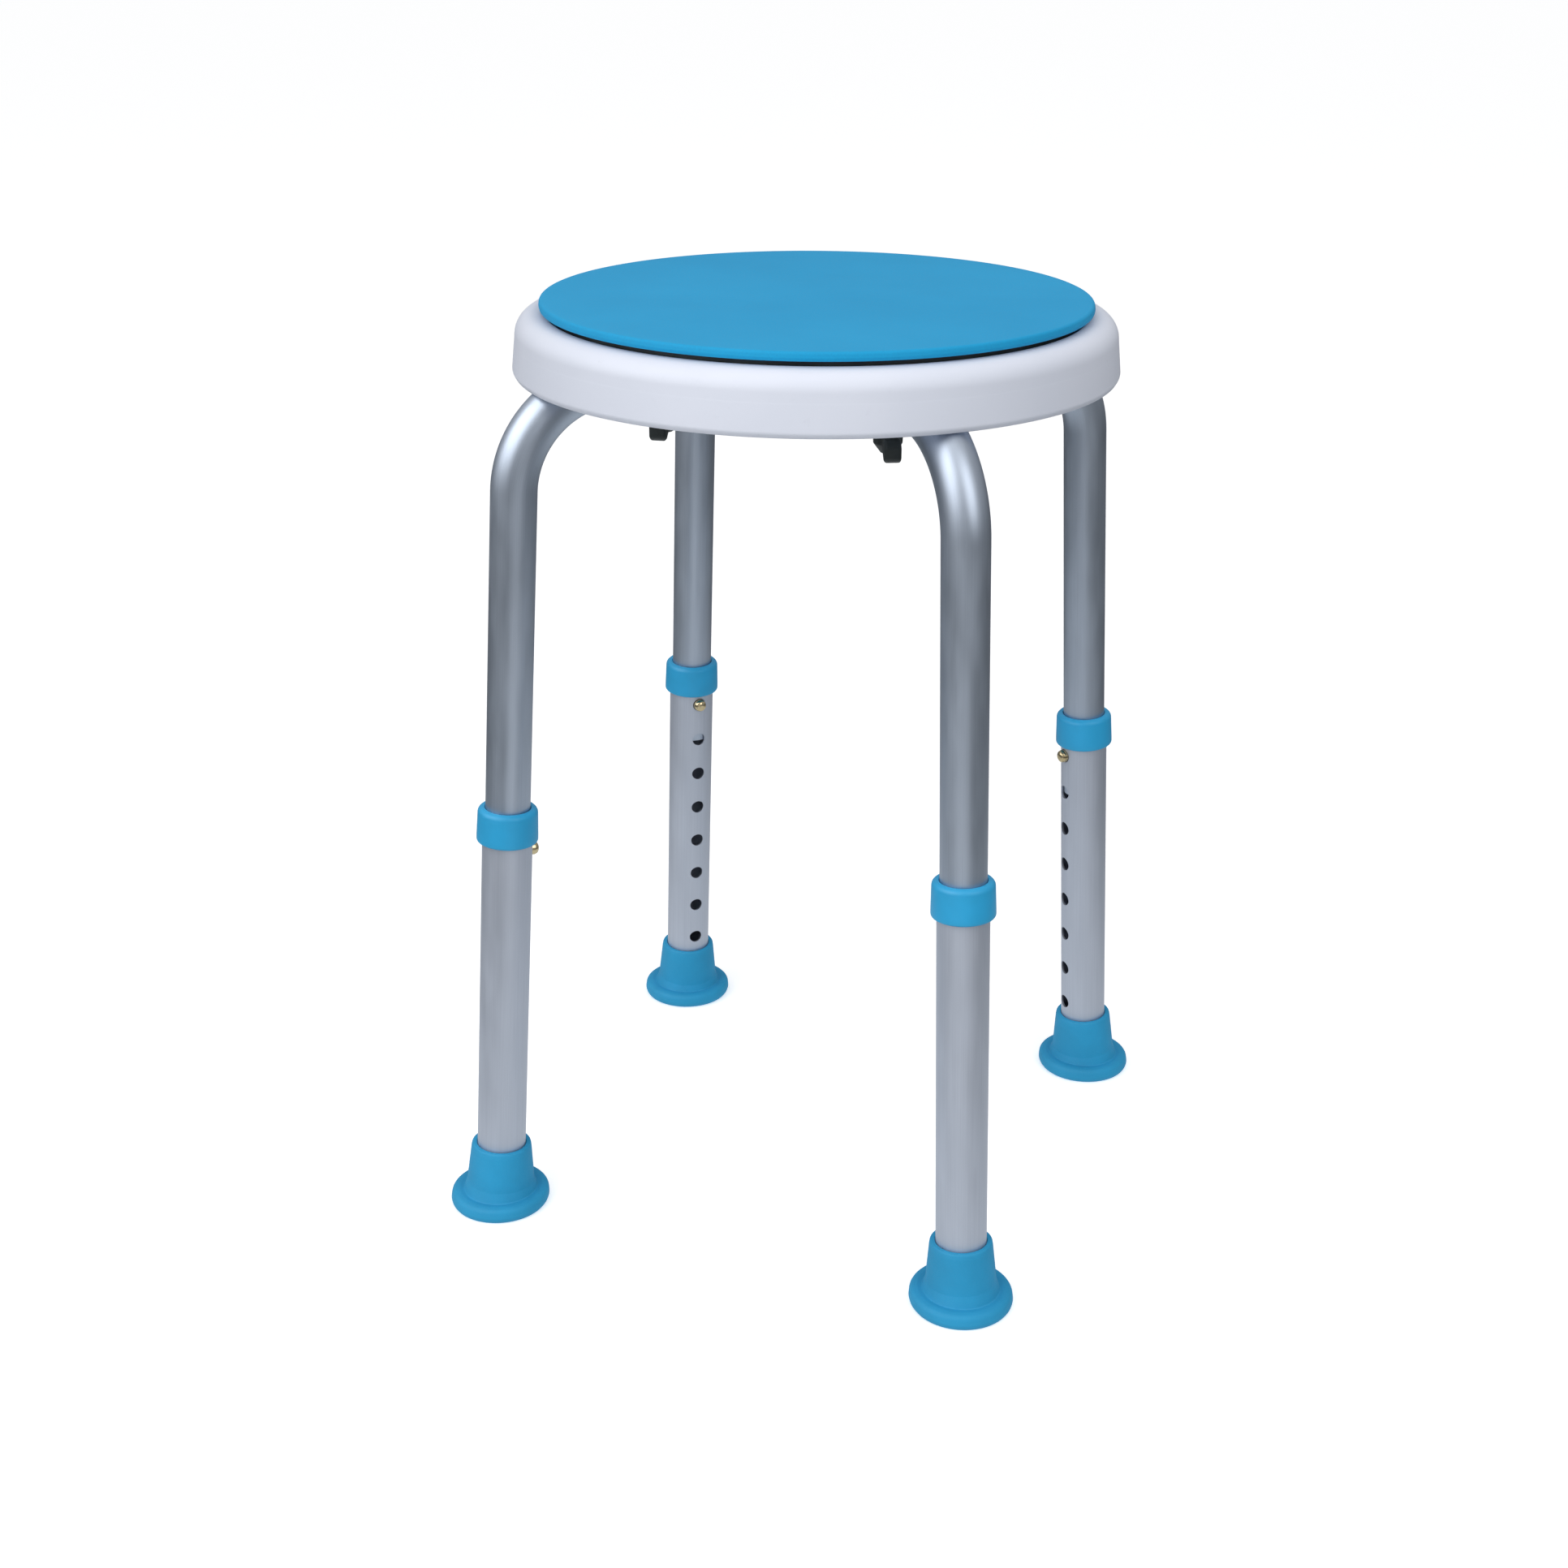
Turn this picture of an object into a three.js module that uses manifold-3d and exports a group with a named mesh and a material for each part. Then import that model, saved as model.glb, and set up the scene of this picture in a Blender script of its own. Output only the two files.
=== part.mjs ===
// A round, backless shower stool with a turning top and four legs of adjustable height.
// Millimetres, +Z up. The origin is on the floor at the middle of the feet, and -Y is the front.
// Two inverted-U tubes cross under a moulded seat. A tube with a row of holes slides on each of
// the four leg ends, and a sprung button locks it. A ring bearing carries the padded top.
import * as THREE from 'three';
import { mergeVertices } from 'three/addons/utils/BufferGeometryUtils.js';
import Module from 'manifold-3d';

const wasm = await Module();
wasm.setup();

// ---- driving dimensions ----

const FIT_GAP = 0.3; // clearance between pieces that touch

// seat and top
const SEAT_RADIUS = 167.8; // widest, near the bottom edge of the skirt
const SEAT_BOTTOM = 488.5;
const SEAT_RIM_TOP = 520.8;
const SEAT_RIM_RADIUS = 155; // outer edge of the flat rim, before the shoulder
const SHOULDER_RADIUS = 11;
const WELL_RADIUS = 148.4; // the sunk floor that holds the bearing and the disc
const WELL_FLOOR = 507.6;
const SEAT_WALL = 3.6;
const SKIRT = { edge: 4, lip: 3.6, bottomWall: 4.2, topWall: 5.5, fillet: 2 };
const RIB = { bottom: 491.5, thickness: 2.6 };
const CHANNEL_WALL = { from: 42, to: 152, clearance: 1 }; // ribs on both sides of each tube
const SPOKE_START = 30; // ribs between the tubes, from here out to the skirt
const PAD = { radius: 152.5, thickness: 5, edge: 1.6 };
const STOOL_HEIGHT = 528.5;
const DISC = { radius: 146, thickness: 4.5, edge: 0.8 };

// ring bearing
const BALL_CIRCLE_RADIUS = 110;
const BALL_RADIUS = 2.2;
const BALL_COUNT = 12;
const BALL_HEIGHT = 513.1;
const RACE_WIDTH = 7;
const RACE_HEIGHT = 9.8;
const RACE_SLOT = 2.2; // radial gap between the two races
const GROOVE = { depth: 2.3, halfHeight: 2.6 };
const CAGE = { halfWidth: 0.6, halfHeight: 0.9 };
const SCREW = { shank: 1.5, hole: 1.8, head: 3.4, headHeight: 2.2 };
const SCREW_THREAD = 5; // how far a screw reaches into its race
const SCREW_AZIMUTHS = [20, 110, 200, 290]; // between the ribs

// frame tubes
const UPPER_TUBE = { outer: 12.7, inner: 11.5 }; // radii
const LOWER_TUBE = { outer: 14.3, inner: 13.1 };
const TUBE_SIDES = 12;
const TUBE_LEVEL = 491; // centre line of the part under the seat
const BEND_RADIUS = 58;
const BEND_STEPS = 6;
const FOOT_CIRCLE_RADIUS = 205; // where a leg's centre line meets the floor
const LEG_SLOPE = 0.062; // outward lean of a leg, radius per height
const FLAT_HALF_HEIGHT = 6.2; // the tubes are pressed flat where they cross
const FLAT_HALF_WIDTH = 16.6;
const FLAT_REACH = 19;
const ROUND_REACH = 38;

// height adjustment, measured up the leg from the floor
const HOLE_PITCH = 25.4;
const HOLE_COUNT = 8;
const TOP_HOLE = 228.5;
const HOLE_RADIUS = 4.3;
const HOLE_SIDES = 8;
const HOLE_SPAN = [8, 20]; // distances from the leg's axis that a hole's cutter covers
const UPPER_TUBE_END = TOP_HOLE - 1.05 * HOLE_PITCH;
const LOWER_TUBE_TOP = TOP_HOLE + 23.5;
const COLLAR = { bottom: TOP_HOLE + 6.5, height: 20.5, radius: 17.5, topEdge: 2.8, bottomEdge: 1.6 };
const BUTTON = { radius: 4, base: 7.4, reach: 18.5, dome: 3 };
const SPRING = { strip: 0.8, width: 8, back: -9, armTop: 7, armFoot: 7, heel: 22 };

// feet
const TIP = { flange: 29.4, lip: 18, height: 39.5, sole: 14, flangeTop: 10.4 };
const SOLE_CUP = { radius: 12, depth: 2.5 };
const FOOT_WASHER = { radius: 12.6, thickness: 1.6 };

// clamping hardware under the seat
const KNOB_CIRCLE_RADIUS = 90;
const BOLT_RADIUS = 3;
const BOLT_HOLE_RADIUS = 3.4;
const BOLT_HEAD = { radius: 8, height: 3 };
const WASHER = { radius: 10, thickness: 1.6 };
const KNOB = { hub: 9.5, height: 16, wing: 21.5, thickness: 10, bore: 11.5 };
const NUT = { radius: 5.8, height: 5, collarRadius: 4.8, collarHeight: 1.5 };
const BOLT_PROJECTION = 2.5; // how far the centre bolt stands out of its nut
const CUT_PAST = 10; // how far a cutter runs past the face that it cuts

// Legs by name: the direction of each from the stool's axis, and its turned wing knob.
const LEGS = [
  { name: 'front_left', azimuth: 225, knobTurn: -50 },
  { name: 'front_right', azimuth: 315, knobTurn: 18 },
  { name: 'rear_right', azimuth: 45, knobTurn: 35 },
  { name: 'rear_left', azimuth: 135, knobTurn: -20 },
];

// ---- materials ----

function finish(color, roughness, metalness = 0) {
  return new THREE.MeshStandardMaterial({ color, roughness, metalness });
}
const blueFoam = finish(0x3f9fd2, 0.75);
const bluePlastic = finish(0x339ccf, 0.5);
const blueRubber = finish(0x3399cc, 0.7);
const whitePlastic = finish(0xdde1ea, 0.45);
const satinAluminium = finish(0xaab2bf, 0.35, 0.9);
const paleAluminium = finish(0xc3c6d0, 0.5, 0.8);
const blackPlastic = finish(0x232826, 0.5);
const brass = finish(0xc9a55a, 0.3, 1);
const steel = finish(0x9a9da1, 0.35, 1);

// ---- geometry helpers ----

function radians(degrees) {
  return (degrees * Math.PI) / 180;
}

/** The corner radius that a many-sided bore needs to clear a shaft by the fit gap. */
function boreFor(shaftRadius, sides) {
  return (shaftRadius + FIT_GAP) / Math.cos(Math.PI / sides);
}

/** The same surface with its faces turned outwards, whichever way its outline ran. */
function facingOut(geometry) {
  const index = geometry.index.array;
  const [a, b, c] = [new THREE.Vector3(), new THREE.Vector3(), new THREE.Vector3()];
  let volume = 0;
  for (let i = 0; i < index.length; i += 3) {
    [a, b, c].forEach((corner, j) => (
      corner.fromBufferAttribute(geometry.attributes.position, index[i + j])
    ));
    volume += a.dot(b.cross(c));
  }
  for (let i = 0; volume < 0 && i < index.length; i += 3) {
    [index[i], index[i + 1]] = [index[i + 1], index[i]];
  }
  return geometry;
}

/** A body turned about +Z from an outline of [radius, height] points. */
function turned(outline, segments) {
  const points = outline.map(([radius, height]) => new THREE.Vector2(radius, height));
  return facingOut(new THREE.LatheGeometry(points, segments).rotateX(Math.PI / 2));
}

/** An outline that closes on itself, for a ring. */
function ring(outline, segments) {
  return turned([...outline, outline[0]], segments);
}

/** An upright round bar between two heights, with a flat on its +X side. */
function bar(radius, bottom, top, sides = 12) {
  const phase = Math.PI / sides;
  const height = top - bottom;
  return new THREE.CylinderGeometry(radius, radius, height, sides)
    .rotateY(phase)
    .rotateX(Math.PI / 2)
    .translate(0, 0, (bottom + top) / 2);
}

/** A body lofted through rings of points; the last ring joins the first again. */
function loftedLoop(rings) {
  const sides = rings[0].length;
  const positions = rings.flat().flatMap((point) => point.toArray());
  const indices = [];
  rings.forEach((_, i) => {
    const next = (i + 1) % rings.length;
    for (let j = 0; j < sides; j += 1) {
      const k = (j + 1) % sides;
      const [a, b, c, d] = [i * sides + j, i * sides + k, next * sides + k, next * sides + j];
      indices.push(a, b, c, a, c, d);
    }
  });
  const geometry = new THREE.BufferGeometry();
  geometry.setAttribute('position', new THREE.Float32BufferAttribute(positions, 3));
  geometry.setIndex(indices);
  return facingOut(geometry);
}

function toManifold(source) {
  let geometry = source.clone();
  geometry.deleteAttribute('normal');
  geometry.deleteAttribute('uv');
  geometry = mergeVertices(geometry, 1e-4);
  const index = Array.from(geometry.index.array);
  const kept = [];
  for (let i = 0; i < index.length; i += 3) {
    const [a, b, c] = index.slice(i, i + 3);
    if (a !== b && b !== c && c !== a) kept.push(a, b, c);
  }
  const vertProperties = Float32Array.from(geometry.attributes.position.array);
  return new wasm.Manifold(new wasm.Mesh({
    numProp: 3, vertProperties, triVerts: Uint32Array.from(kept),
  }));
}

function toGeometry(solid) {
  const { vertProperties, triVerts } = solid.getMesh();
  const geometry = new THREE.BufferGeometry();
  geometry.setAttribute('position', new THREE.BufferAttribute(vertProperties, 3));
  geometry.setIndex(new THREE.BufferAttribute(triVerts, 1));
  geometry.computeVertexNormals();
  return geometry;
}

/** The body with more bodies joined on and others cut away. */
function combined(body, added, cutAway) {
  let solid = toManifold(body);
  added.forEach((geometry) => { solid = solid.add(toManifold(geometry)); });
  cutAway.forEach((geometry) => { solid = solid.subtract(toManifold(geometry)); });
  return toGeometry(solid);
}

const group = new THREE.Group();

function place(parent, name, geometry, material) {
  const mesh = new THREE.Mesh(geometry, material);
  mesh.name = name;
  parent.add(mesh);
  return mesh;
}

/** A group whose +Z runs up the leg from the floor and whose +X points at the stool's axis. */
function legGroup(azimuth) {
  const outward = new THREE.Vector3(Math.cos(radians(azimuth)), Math.sin(radians(azimuth)), 0);
  const up = outward.clone().multiplyScalar(-LEG_SLOPE).add(new THREE.Vector3(0, 0, 1)).normalize();
  const across = up.clone().cross(outward.clone().negate()).normalize();
  const inward = across.clone().cross(up);
  const result = new THREE.Group();
  result.quaternion.setFromRotationMatrix(new THREE.Matrix4().makeBasis(inward, across, up));
  result.position.copy(outward.multiplyScalar(FOOT_CIRCLE_RADIUS));
  result.updateMatrixWorld();
  return result;
}

/** A group that stands upright over a wing knob's place on a frame tube. */
function knobGroup(azimuth) {
  const result = new THREE.Group();
  result.rotation.z = radians(azimuth);
  result.position.set(
    KNOB_CIRCLE_RADIUS * Math.cos(radians(azimuth)),
    KNOB_CIRCLE_RADIUS * Math.sin(radians(azimuth)),
    0,
  );
  result.updateMatrixWorld();
  return result;
}

// ---- frame tubes ----

/**
 * Stations of an inverted-U centre line in its own upright plane: x along the plane, z up, and
 * the direction that points to the inside of the U. The first half is listed and then mirrored.
 */
function uTubeStations() {
  const lean = Math.atan(LEG_SLOPE);
  const corner = FOOT_CIRCLE_RADIUS - LEG_SLOPE * TUBE_LEVEL;
  const bendAngle = Math.PI / 2 - lean;
  const tangent = BEND_RADIUS * Math.tan(bendAngle / 2);
  const half = [{
    x: FOOT_CIRCLE_RADIUS - UPPER_TUBE_END * Math.sin(lean),
    z: UPPER_TUBE_END * Math.cos(lean),
    inside: [-Math.cos(lean), -Math.sin(lean)],
  }];
  for (let i = 0; i <= BEND_STEPS; i += 1) {
    const angle = lean + (bendAngle * i) / BEND_STEPS;
    half.push({
      x: corner - tangent + BEND_RADIUS * Math.cos(angle),
      z: TUBE_LEVEL - BEND_RADIUS + BEND_RADIUS * Math.sin(angle),
      inside: [-Math.cos(angle), -Math.sin(angle)],
    });
  }
  [ROUND_REACH, FLAT_REACH].forEach((x) => half.push({ x, z: TUBE_LEVEL, inside: [0, -1] }));
  const mirrored = half.map(({ x, z, inside }) => ({ x: -x, z, inside: [-inside[0], inside[1]] }));
  return [...half, ...mirrored.reverse()];
}

/**
 * Rings of one tube wall. flatSide is +1 where the crossing keeps the tube's top, -1 where it
 * keeps its bottom, and 0 for a tube that is round all along.
 */
function uTubeRings(radius, azimuth, flatSide) {
  const wallInset = UPPER_TUBE.outer - radius;
  const along = new THREE.Vector3(Math.cos(radians(azimuth)), Math.sin(radians(azimuth)), 0);
  const across = new THREE.Vector3(-along.y, along.x, 0);
  return uTubeStations().map(({ x, z, inside }) => {
    const isFlat = flatSide !== 0 && Math.abs(x) <= FLAT_REACH;
    const tall = isFlat ? FLAT_HALF_HEIGHT - wallInset : radius;
    const wide = isFlat ? FLAT_HALF_WIDTH - wallInset : radius;
    const lift = isFlat ? flatSide * (UPPER_TUBE.outer - FLAT_HALF_HEIGHT) : 0;
    const centre = along.clone().multiplyScalar(x).setZ(z + lift);
    const inner = along.clone().multiplyScalar(inside[0]).setZ(inside[1]);
    return Array.from({ length: TUBE_SIDES }, (_, k) => {
      const angle = ((k + 0.5) * 2 * Math.PI) / TUBE_SIDES;
      return centre.clone()
        .addScaledVector(inner, tall * Math.cos(angle))
        .addScaledVector(across, wide * Math.sin(angle));
    });
  });
}

/** The tube's outer and inner walls as one body, open at both ends. */
function uTubeBody(outer, inner, azimuth, flatSide) {
  const outside = uTubeRings(outer, azimuth, flatSide);
  const inside = uTubeRings(inner, azimuth, flatSide);
  return loftedLoop([...inside.reverse(), ...outside]);
}

function buttonHole(alongLeg) {
  return bar(HOLE_RADIUS, ...HOLE_SPAN, HOLE_SIDES).rotateY(Math.PI / 2).translate(0, 0, alongLeg);
}

/** A cutter for an upright bolt hole through everything between two heights. */
function boltHole(bottom, top) {
  return bar(BOLT_HOLE_RADIUS, bottom - CUT_PAST, top + CUT_PAST);
}

function frameTube(azimuth, flatSide) {
  const span = [TUBE_LEVEL - UPPER_TUBE.outer, TUBE_LEVEL + UPPER_TUBE.outer];
  const cuts = [boltHole(...span)];
  [azimuth, azimuth + 180].forEach((direction) => {
    cuts.push(buttonHole(TOP_HOLE).applyMatrix4(legGroup(direction).matrixWorld));
    cuts.push(boltHole(...span).applyMatrix4(knobGroup(direction).matrixWorld));
  });
  return combined(uTubeBody(UPPER_TUBE.outer, UPPER_TUBE.inner, azimuth, flatSide), [], cuts);
}

place(group, 'frame_tube_a', frameTube(45, 1), satinAluminium);
place(group, 'frame_tube_b', frameTube(135, -1), satinAluminium);

// ---- seat base ----

/** Points of a quarter-round from one angle to another. */
function arc(centreRadius, centreHeight, radius, from, to, steps) {
  return Array.from({ length: steps + 1 }, (_, i) => {
    const angle = radians(from + ((to - from) * i) / steps);
    return [centreRadius + radius * Math.cos(angle), centreHeight + radius * Math.sin(angle)];
  });
}

const CEILING = WELL_FLOOR - SEAT_WALL; // underside of the well's floor

function seatShell() {
  const { edge, lip, bottomWall, topWall, fillet } = SKIRT;
  return turned([
    [0, CEILING],
    [SEAT_RADIUS - topWall - fillet, CEILING],
    [SEAT_RADIUS - topWall, CEILING - fillet],
    [SEAT_RADIUS - bottomWall, SEAT_BOTTOM + bottomWall - lip],
    [SEAT_RADIUS - lip, SEAT_BOTTOM],
    ...arc(SEAT_RADIUS - edge, SEAT_BOTTOM + edge, edge, -75, 5, 3),
    ...arc(SEAT_RIM_RADIUS, SEAT_RIM_TOP - SHOULDER_RADIUS, SHOULDER_RADIUS, 5, 90, 4),
    [WELL_RADIUS, SEAT_RIM_TOP],
    [WELL_RADIUS, WELL_FLOOR],
    [0, WELL_FLOOR],
  ], 64);
}

/** A straight rib under the seat, along azimuth, beside the line through the axis. */
function seatRib(azimuth, from, to, aside) {
  const root = CEILING + SEAT_WALL / 2;
  return new THREE.BoxGeometry(to - from, RIB.thickness, root - RIB.bottom)
    .translate((from + to) / 2, aside, (root + RIB.bottom) / 2)
    .rotateZ(radians(azimuth));
}

const OUTER_SCREW_RADIUS = BALL_CIRCLE_RADIUS + (RACE_SLOT + RACE_WIDTH) / 2;
const INNER_SCREW_RADIUS = BALL_CIRCLE_RADIUS - (RACE_SLOT + RACE_WIDTH) / 2;

function aroundAxis(geometry, radius, azimuth) {
  return geometry.translate(radius, 0, 0).rotateZ(radians(azimuth));
}

function screwHole(bottom, top) {
  return bar(SCREW.hole, bottom - CUT_PAST, top + CUT_PAST, 8);
}

function seatBase() {
  const { from, to, clearance } = CHANNEL_WALL;
  const aside = UPPER_TUBE.outer + clearance + RIB.thickness / 2;
  const ribs = LEGS.flatMap(({ azimuth }) => [
    seatRib(azimuth, from, to, aside),
    seatRib(azimuth, from, to, -aside),
    seatRib(azimuth + 45, SPOKE_START, SEAT_RADIUS - SKIRT.topWall, 0),
  ]);
  const almostSolid = 0.5; // the cutter's own bore, too thin to leave anything behind
  const cuts = [45, 135].map((azimuth) => (
    uTubeBody(UPPER_TUBE.outer + 2 * FIT_GAP, almostSolid, azimuth, 0)
  ));
  cuts.push(boltHole(CEILING, WELL_FLOOR));
  LEGS.forEach(({ azimuth }) => {
    cuts.push(boltHole(CEILING, WELL_FLOOR).applyMatrix4(knobGroup(azimuth).matrixWorld));
  });
  SCREW_AZIMUTHS.forEach((azimuth) => {
    cuts.push(aroundAxis(screwHole(CEILING, WELL_FLOOR), OUTER_SCREW_RADIUS, azimuth));
  });
  return combined(seatShell(), ribs, cuts);
}

place(group, 'seat_base', seatBase(), whitePlastic);

// ---- ring bearing, swivel disc and pad ----

const PAD_BOTTOM = STOOL_HEIGHT - PAD.thickness;
const DISC_TOP = PAD_BOTTOM - FIT_GAP;
const DISC_BOTTOM = DISC_TOP - DISC.thickness;

/** A race with a vee groove for the balls on its inner (-1) or outer (+1) face. */
function race(side, bottom, screwRadius) {
  const grooved = BALL_CIRCLE_RADIUS - (side * RACE_SLOT) / 2;
  const plain = grooved - side * RACE_WIDTH;
  const body = ring([
    [plain, bottom],
    [grooved, bottom],
    [grooved, BALL_HEIGHT - GROOVE.halfHeight],
    [grooved - side * GROOVE.depth, BALL_HEIGHT],
    [grooved, BALL_HEIGHT + GROOVE.halfHeight],
    [grooved, bottom + RACE_HEIGHT],
    [plain, bottom + RACE_HEIGHT],
  ], 48);
  const holes = SCREW_AZIMUTHS.map((azimuth) => (
    aroundAxis(screwHole(bottom, bottom + RACE_HEIGHT), screwRadius, azimuth)
  ));
  return combined(body, [], holes);
}

function ballCage() {
  const { halfWidth, halfHeight } = CAGE;
  const body = ring([
    [BALL_CIRCLE_RADIUS - halfWidth, BALL_HEIGHT - halfHeight],
    [BALL_CIRCLE_RADIUS + halfWidth, BALL_HEIGHT - halfHeight],
    [BALL_CIRCLE_RADIUS + halfWidth, BALL_HEIGHT + halfHeight],
    [BALL_CIRCLE_RADIUS - halfWidth, BALL_HEIGHT + halfHeight],
  ], 48);
  const balls = Array.from({ length: BALL_COUNT }, (_, i) => (
    aroundAxis(
      new THREE.OctahedronGeometry(BALL_RADIUS, 1).translate(0, 0, BALL_HEIGHT),
      BALL_CIRCLE_RADIUS,
      ((i + 0.5) * 360) / BALL_COUNT,
    )
  ));
  return combined(body, balls, []);
}

function swivelDisc() {
  const { radius, edge } = DISC;
  const body = turned([
    [0, DISC_BOTTOM],
    [radius - edge, DISC_BOTTOM],
    [radius, DISC_BOTTOM + edge],
    [radius, DISC_TOP - edge],
    [radius - edge, DISC_TOP],
    [0, DISC_TOP],
  ], 56);
  const headSeat = DISC_TOP - SCREW.headHeight - 2 * FIT_GAP;
  const holes = SCREW_AZIMUTHS.flatMap((azimuth) => [
    screwHole(DISC_BOTTOM, DISC_TOP),
    bar(SCREW.head + FIT_GAP, headSeat, DISC_TOP + CUT_PAST, 12),
  ].map((hole) => aroundAxis(hole, INNER_SCREW_RADIUS, azimuth)));
  return combined(body, [], holes);
}

function seatPad() {
  const { radius, edge } = PAD;
  return turned([
    [0, PAD_BOTTOM],
    [radius - edge / 2, PAD_BOTTOM],
    [radius, PAD_BOTTOM + edge / 2],
    ...arc(radius - edge, STOOL_HEIGHT - edge, edge, 0, 90, 2),
    [0, STOOL_HEIGHT],
  ], 64);
}

const OUTER_RACE_BOTTOM = WELL_FLOOR + FIT_GAP;
const INNER_RACE_BOTTOM = DISC_BOTTOM - FIT_GAP - RACE_HEIGHT;
place(group, 'outer_race', race(-1, OUTER_RACE_BOTTOM, OUTER_SCREW_RADIUS), steel);
place(group, 'inner_race', race(1, INNER_RACE_BOTTOM, INNER_SCREW_RADIUS), steel);
place(group, 'ball_cage', ballCage(), steel);
place(group, 'swivel_disc', swivelDisc(), whitePlastic);
place(group, 'seat_pad', seatPad(), blueFoam);

/** A screw along Z: its head's flat side at height 0, its shank on the +Z side. */
function screw(length) {
  return turned([
    [0, -SCREW.headHeight],
    [SCREW.head * 0.7, -SCREW.headHeight],
    [SCREW.head, -SCREW.headHeight * 0.55],
    [SCREW.head, 0],
    [SCREW.shank, 0],
    [SCREW.shank, length],
    [0, length],
  ], 8);
}

SCREW_AZIMUTHS.forEach((azimuth, i) => {
  const seatSide = screw(SEAT_WALL + 2 * FIT_GAP + SCREW_THREAD)
    .translate(0, 0, CEILING - FIT_GAP);
  place(group, `race_screw_${i + 1}`, aroundAxis(seatSide, OUTER_SCREW_RADIUS, azimuth), steel);
  const discSide = screw(DISC.thickness - SCREW.headHeight + SCREW_THREAD)
    .rotateX(Math.PI)
    .translate(0, 0, DISC_TOP - SCREW.headHeight - FIT_GAP);
  place(group, `disc_screw_${i + 1}`, aroundAxis(discSide, INNER_SCREW_RADIUS, azimuth), steel);
});

// ---- bolts, washers and wing knobs under the seat ----

const TUBE_UNDERSIDE = TUBE_LEVEL - UPPER_TUBE.outer;
const WASHER_TOP = TUBE_UNDERSIDE - FIT_GAP;
const KNOB_TOP = WASHER_TOP - WASHER.thickness - FIT_GAP;

/** A low-headed bolt: the head rests on the well floor and the shank hangs down through the seat. */
function seatBolt(bottom) {
  const headBase = WELL_FLOOR + FIT_GAP;
  return turned([
    [0, bottom],
    [BOLT_RADIUS, bottom],
    [BOLT_RADIUS, headBase],
    [BOLT_HEAD.radius, headBase],
    [BOLT_HEAD.radius, headBase + BOLT_HEAD.height * 0.4],
    [BOLT_HEAD.radius * 0.6, headBase + BOLT_HEAD.height],
    [0, headBase + BOLT_HEAD.height],
  ], 12);
}

function flatWasher(radius, hole, bottom, thickness) {
  return ring([
    [hole, bottom],
    [radius, bottom],
    [radius, bottom + thickness],
    [hole, bottom + thickness],
  ], 16);
}

/** A black knob with two wings that hang a little below its hub. */
function wingKnob() {
  const top = KNOB_TOP;
  const hub = turned([
    [0, top - KNOB.height * 0.75],
    [KNOB.hub - 1.5, top - KNOB.height * 0.75],
    [KNOB.hub, top - KNOB.height * 0.6],
    [KNOB.hub, top],
    [0, top],
  ], 14);
  const side = [
    [0, -4],
    [KNOB.wing - 4, -4],
    [KNOB.wing, -7.5],
    [KNOB.wing, -KNOB.height + 2.5],
    [KNOB.wing - 2.5, -KNOB.height],
    [KNOB.wing - 6, -KNOB.height],
    [KNOB.hub - 1, -KNOB.height * 0.62],
  ];
  const outline = [...side, ...side.slice(1).reverse().map(([x, y]) => [-x, y])];
  const wings = new THREE.ExtrudeGeometry(
    new THREE.Shape(outline.map(([x, y]) => new THREE.Vector2(x, y))),
    { depth: KNOB.thickness, bevelEnabled: false },
  ).translate(0, 0, -KNOB.thickness / 2).rotateX(Math.PI / 2).translate(0, 0, top);
  const bore = bar(BOLT_HOLE_RADIUS, top - KNOB.bore, top + 5);
  return combined(hub, [wings], [bore]);
}

LEGS.forEach(({ name, azimuth, knobTurn }) => {
  const spot = knobGroup(azimuth);
  group.add(spot);
  const boltEnd = KNOB_TOP - KNOB.bore + 1.5;
  place(spot, `seat_bolt_${name}`, seatBolt(boltEnd), steel);
  const washer = flatWasher(
    WASHER.radius, BOLT_HOLE_RADIUS, WASHER_TOP - WASHER.thickness, WASHER.thickness,
  );
  place(spot, `knob_washer_${name}`, washer, steel);
  const knob = place(spot, `wing_knob_${name}`, wingKnob(), blackPlastic);
  knob.rotation.z = radians(knobTurn);
});

/** A hexagonal lock nut with its round collar below. */
function lockNut(top) {
  const { radius, height, collarRadius, collarHeight } = NUT;
  const body = new THREE.CylinderGeometry(radius, radius, height, 6)
    .rotateX(Math.PI / 2).translate(0, 0, top - height / 2);
  const bottom = top - height - collarHeight;
  return combined(body, [bar(collarRadius, bottom, top - height / 2)], [boltHole(bottom, top)]);
}

const NUT_TOP = WASHER_TOP - WASHER.thickness - FIT_GAP;
const CENTRE_BOLT_END = NUT_TOP - NUT.height - NUT.collarHeight - BOLT_PROJECTION;
place(group, 'centre_bolt', seatBolt(CENTRE_BOLT_END), steel);
place(group, 'centre_washer', flatWasher(
  WASHER.radius, BOLT_HOLE_RADIUS, WASHER_TOP - WASHER.thickness, WASHER.thickness,
), steel);
place(group, 'centre_nut', lockNut(NUT_TOP), steel);

// ---- lower legs ----

function lowerTube() {
  const bottom = TIP.sole + 2 * FIT_GAP + FOOT_WASHER.thickness;
  const wall = [LOWER_TUBE.inner, LOWER_TUBE.outer];
  const section = (radius, height) => Array.from({ length: TUBE_SIDES }, (_, k) => {
    const angle = ((k + 0.5) * 2 * Math.PI) / TUBE_SIDES;
    return new THREE.Vector3(radius * Math.cos(angle), radius * Math.sin(angle), height);
  });
  const body = loftedLoop([
    section(wall[1], bottom),
    section(wall[1], LOWER_TUBE_TOP),
    section(wall[0], LOWER_TUBE_TOP),
    section(wall[0], bottom),
  ]);
  const holes = Array.from({ length: HOLE_COUNT }, (_, i) => buttonHole(TOP_HOLE - i * HOLE_PITCH));
  return combined(body, [], holes);
}

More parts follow.
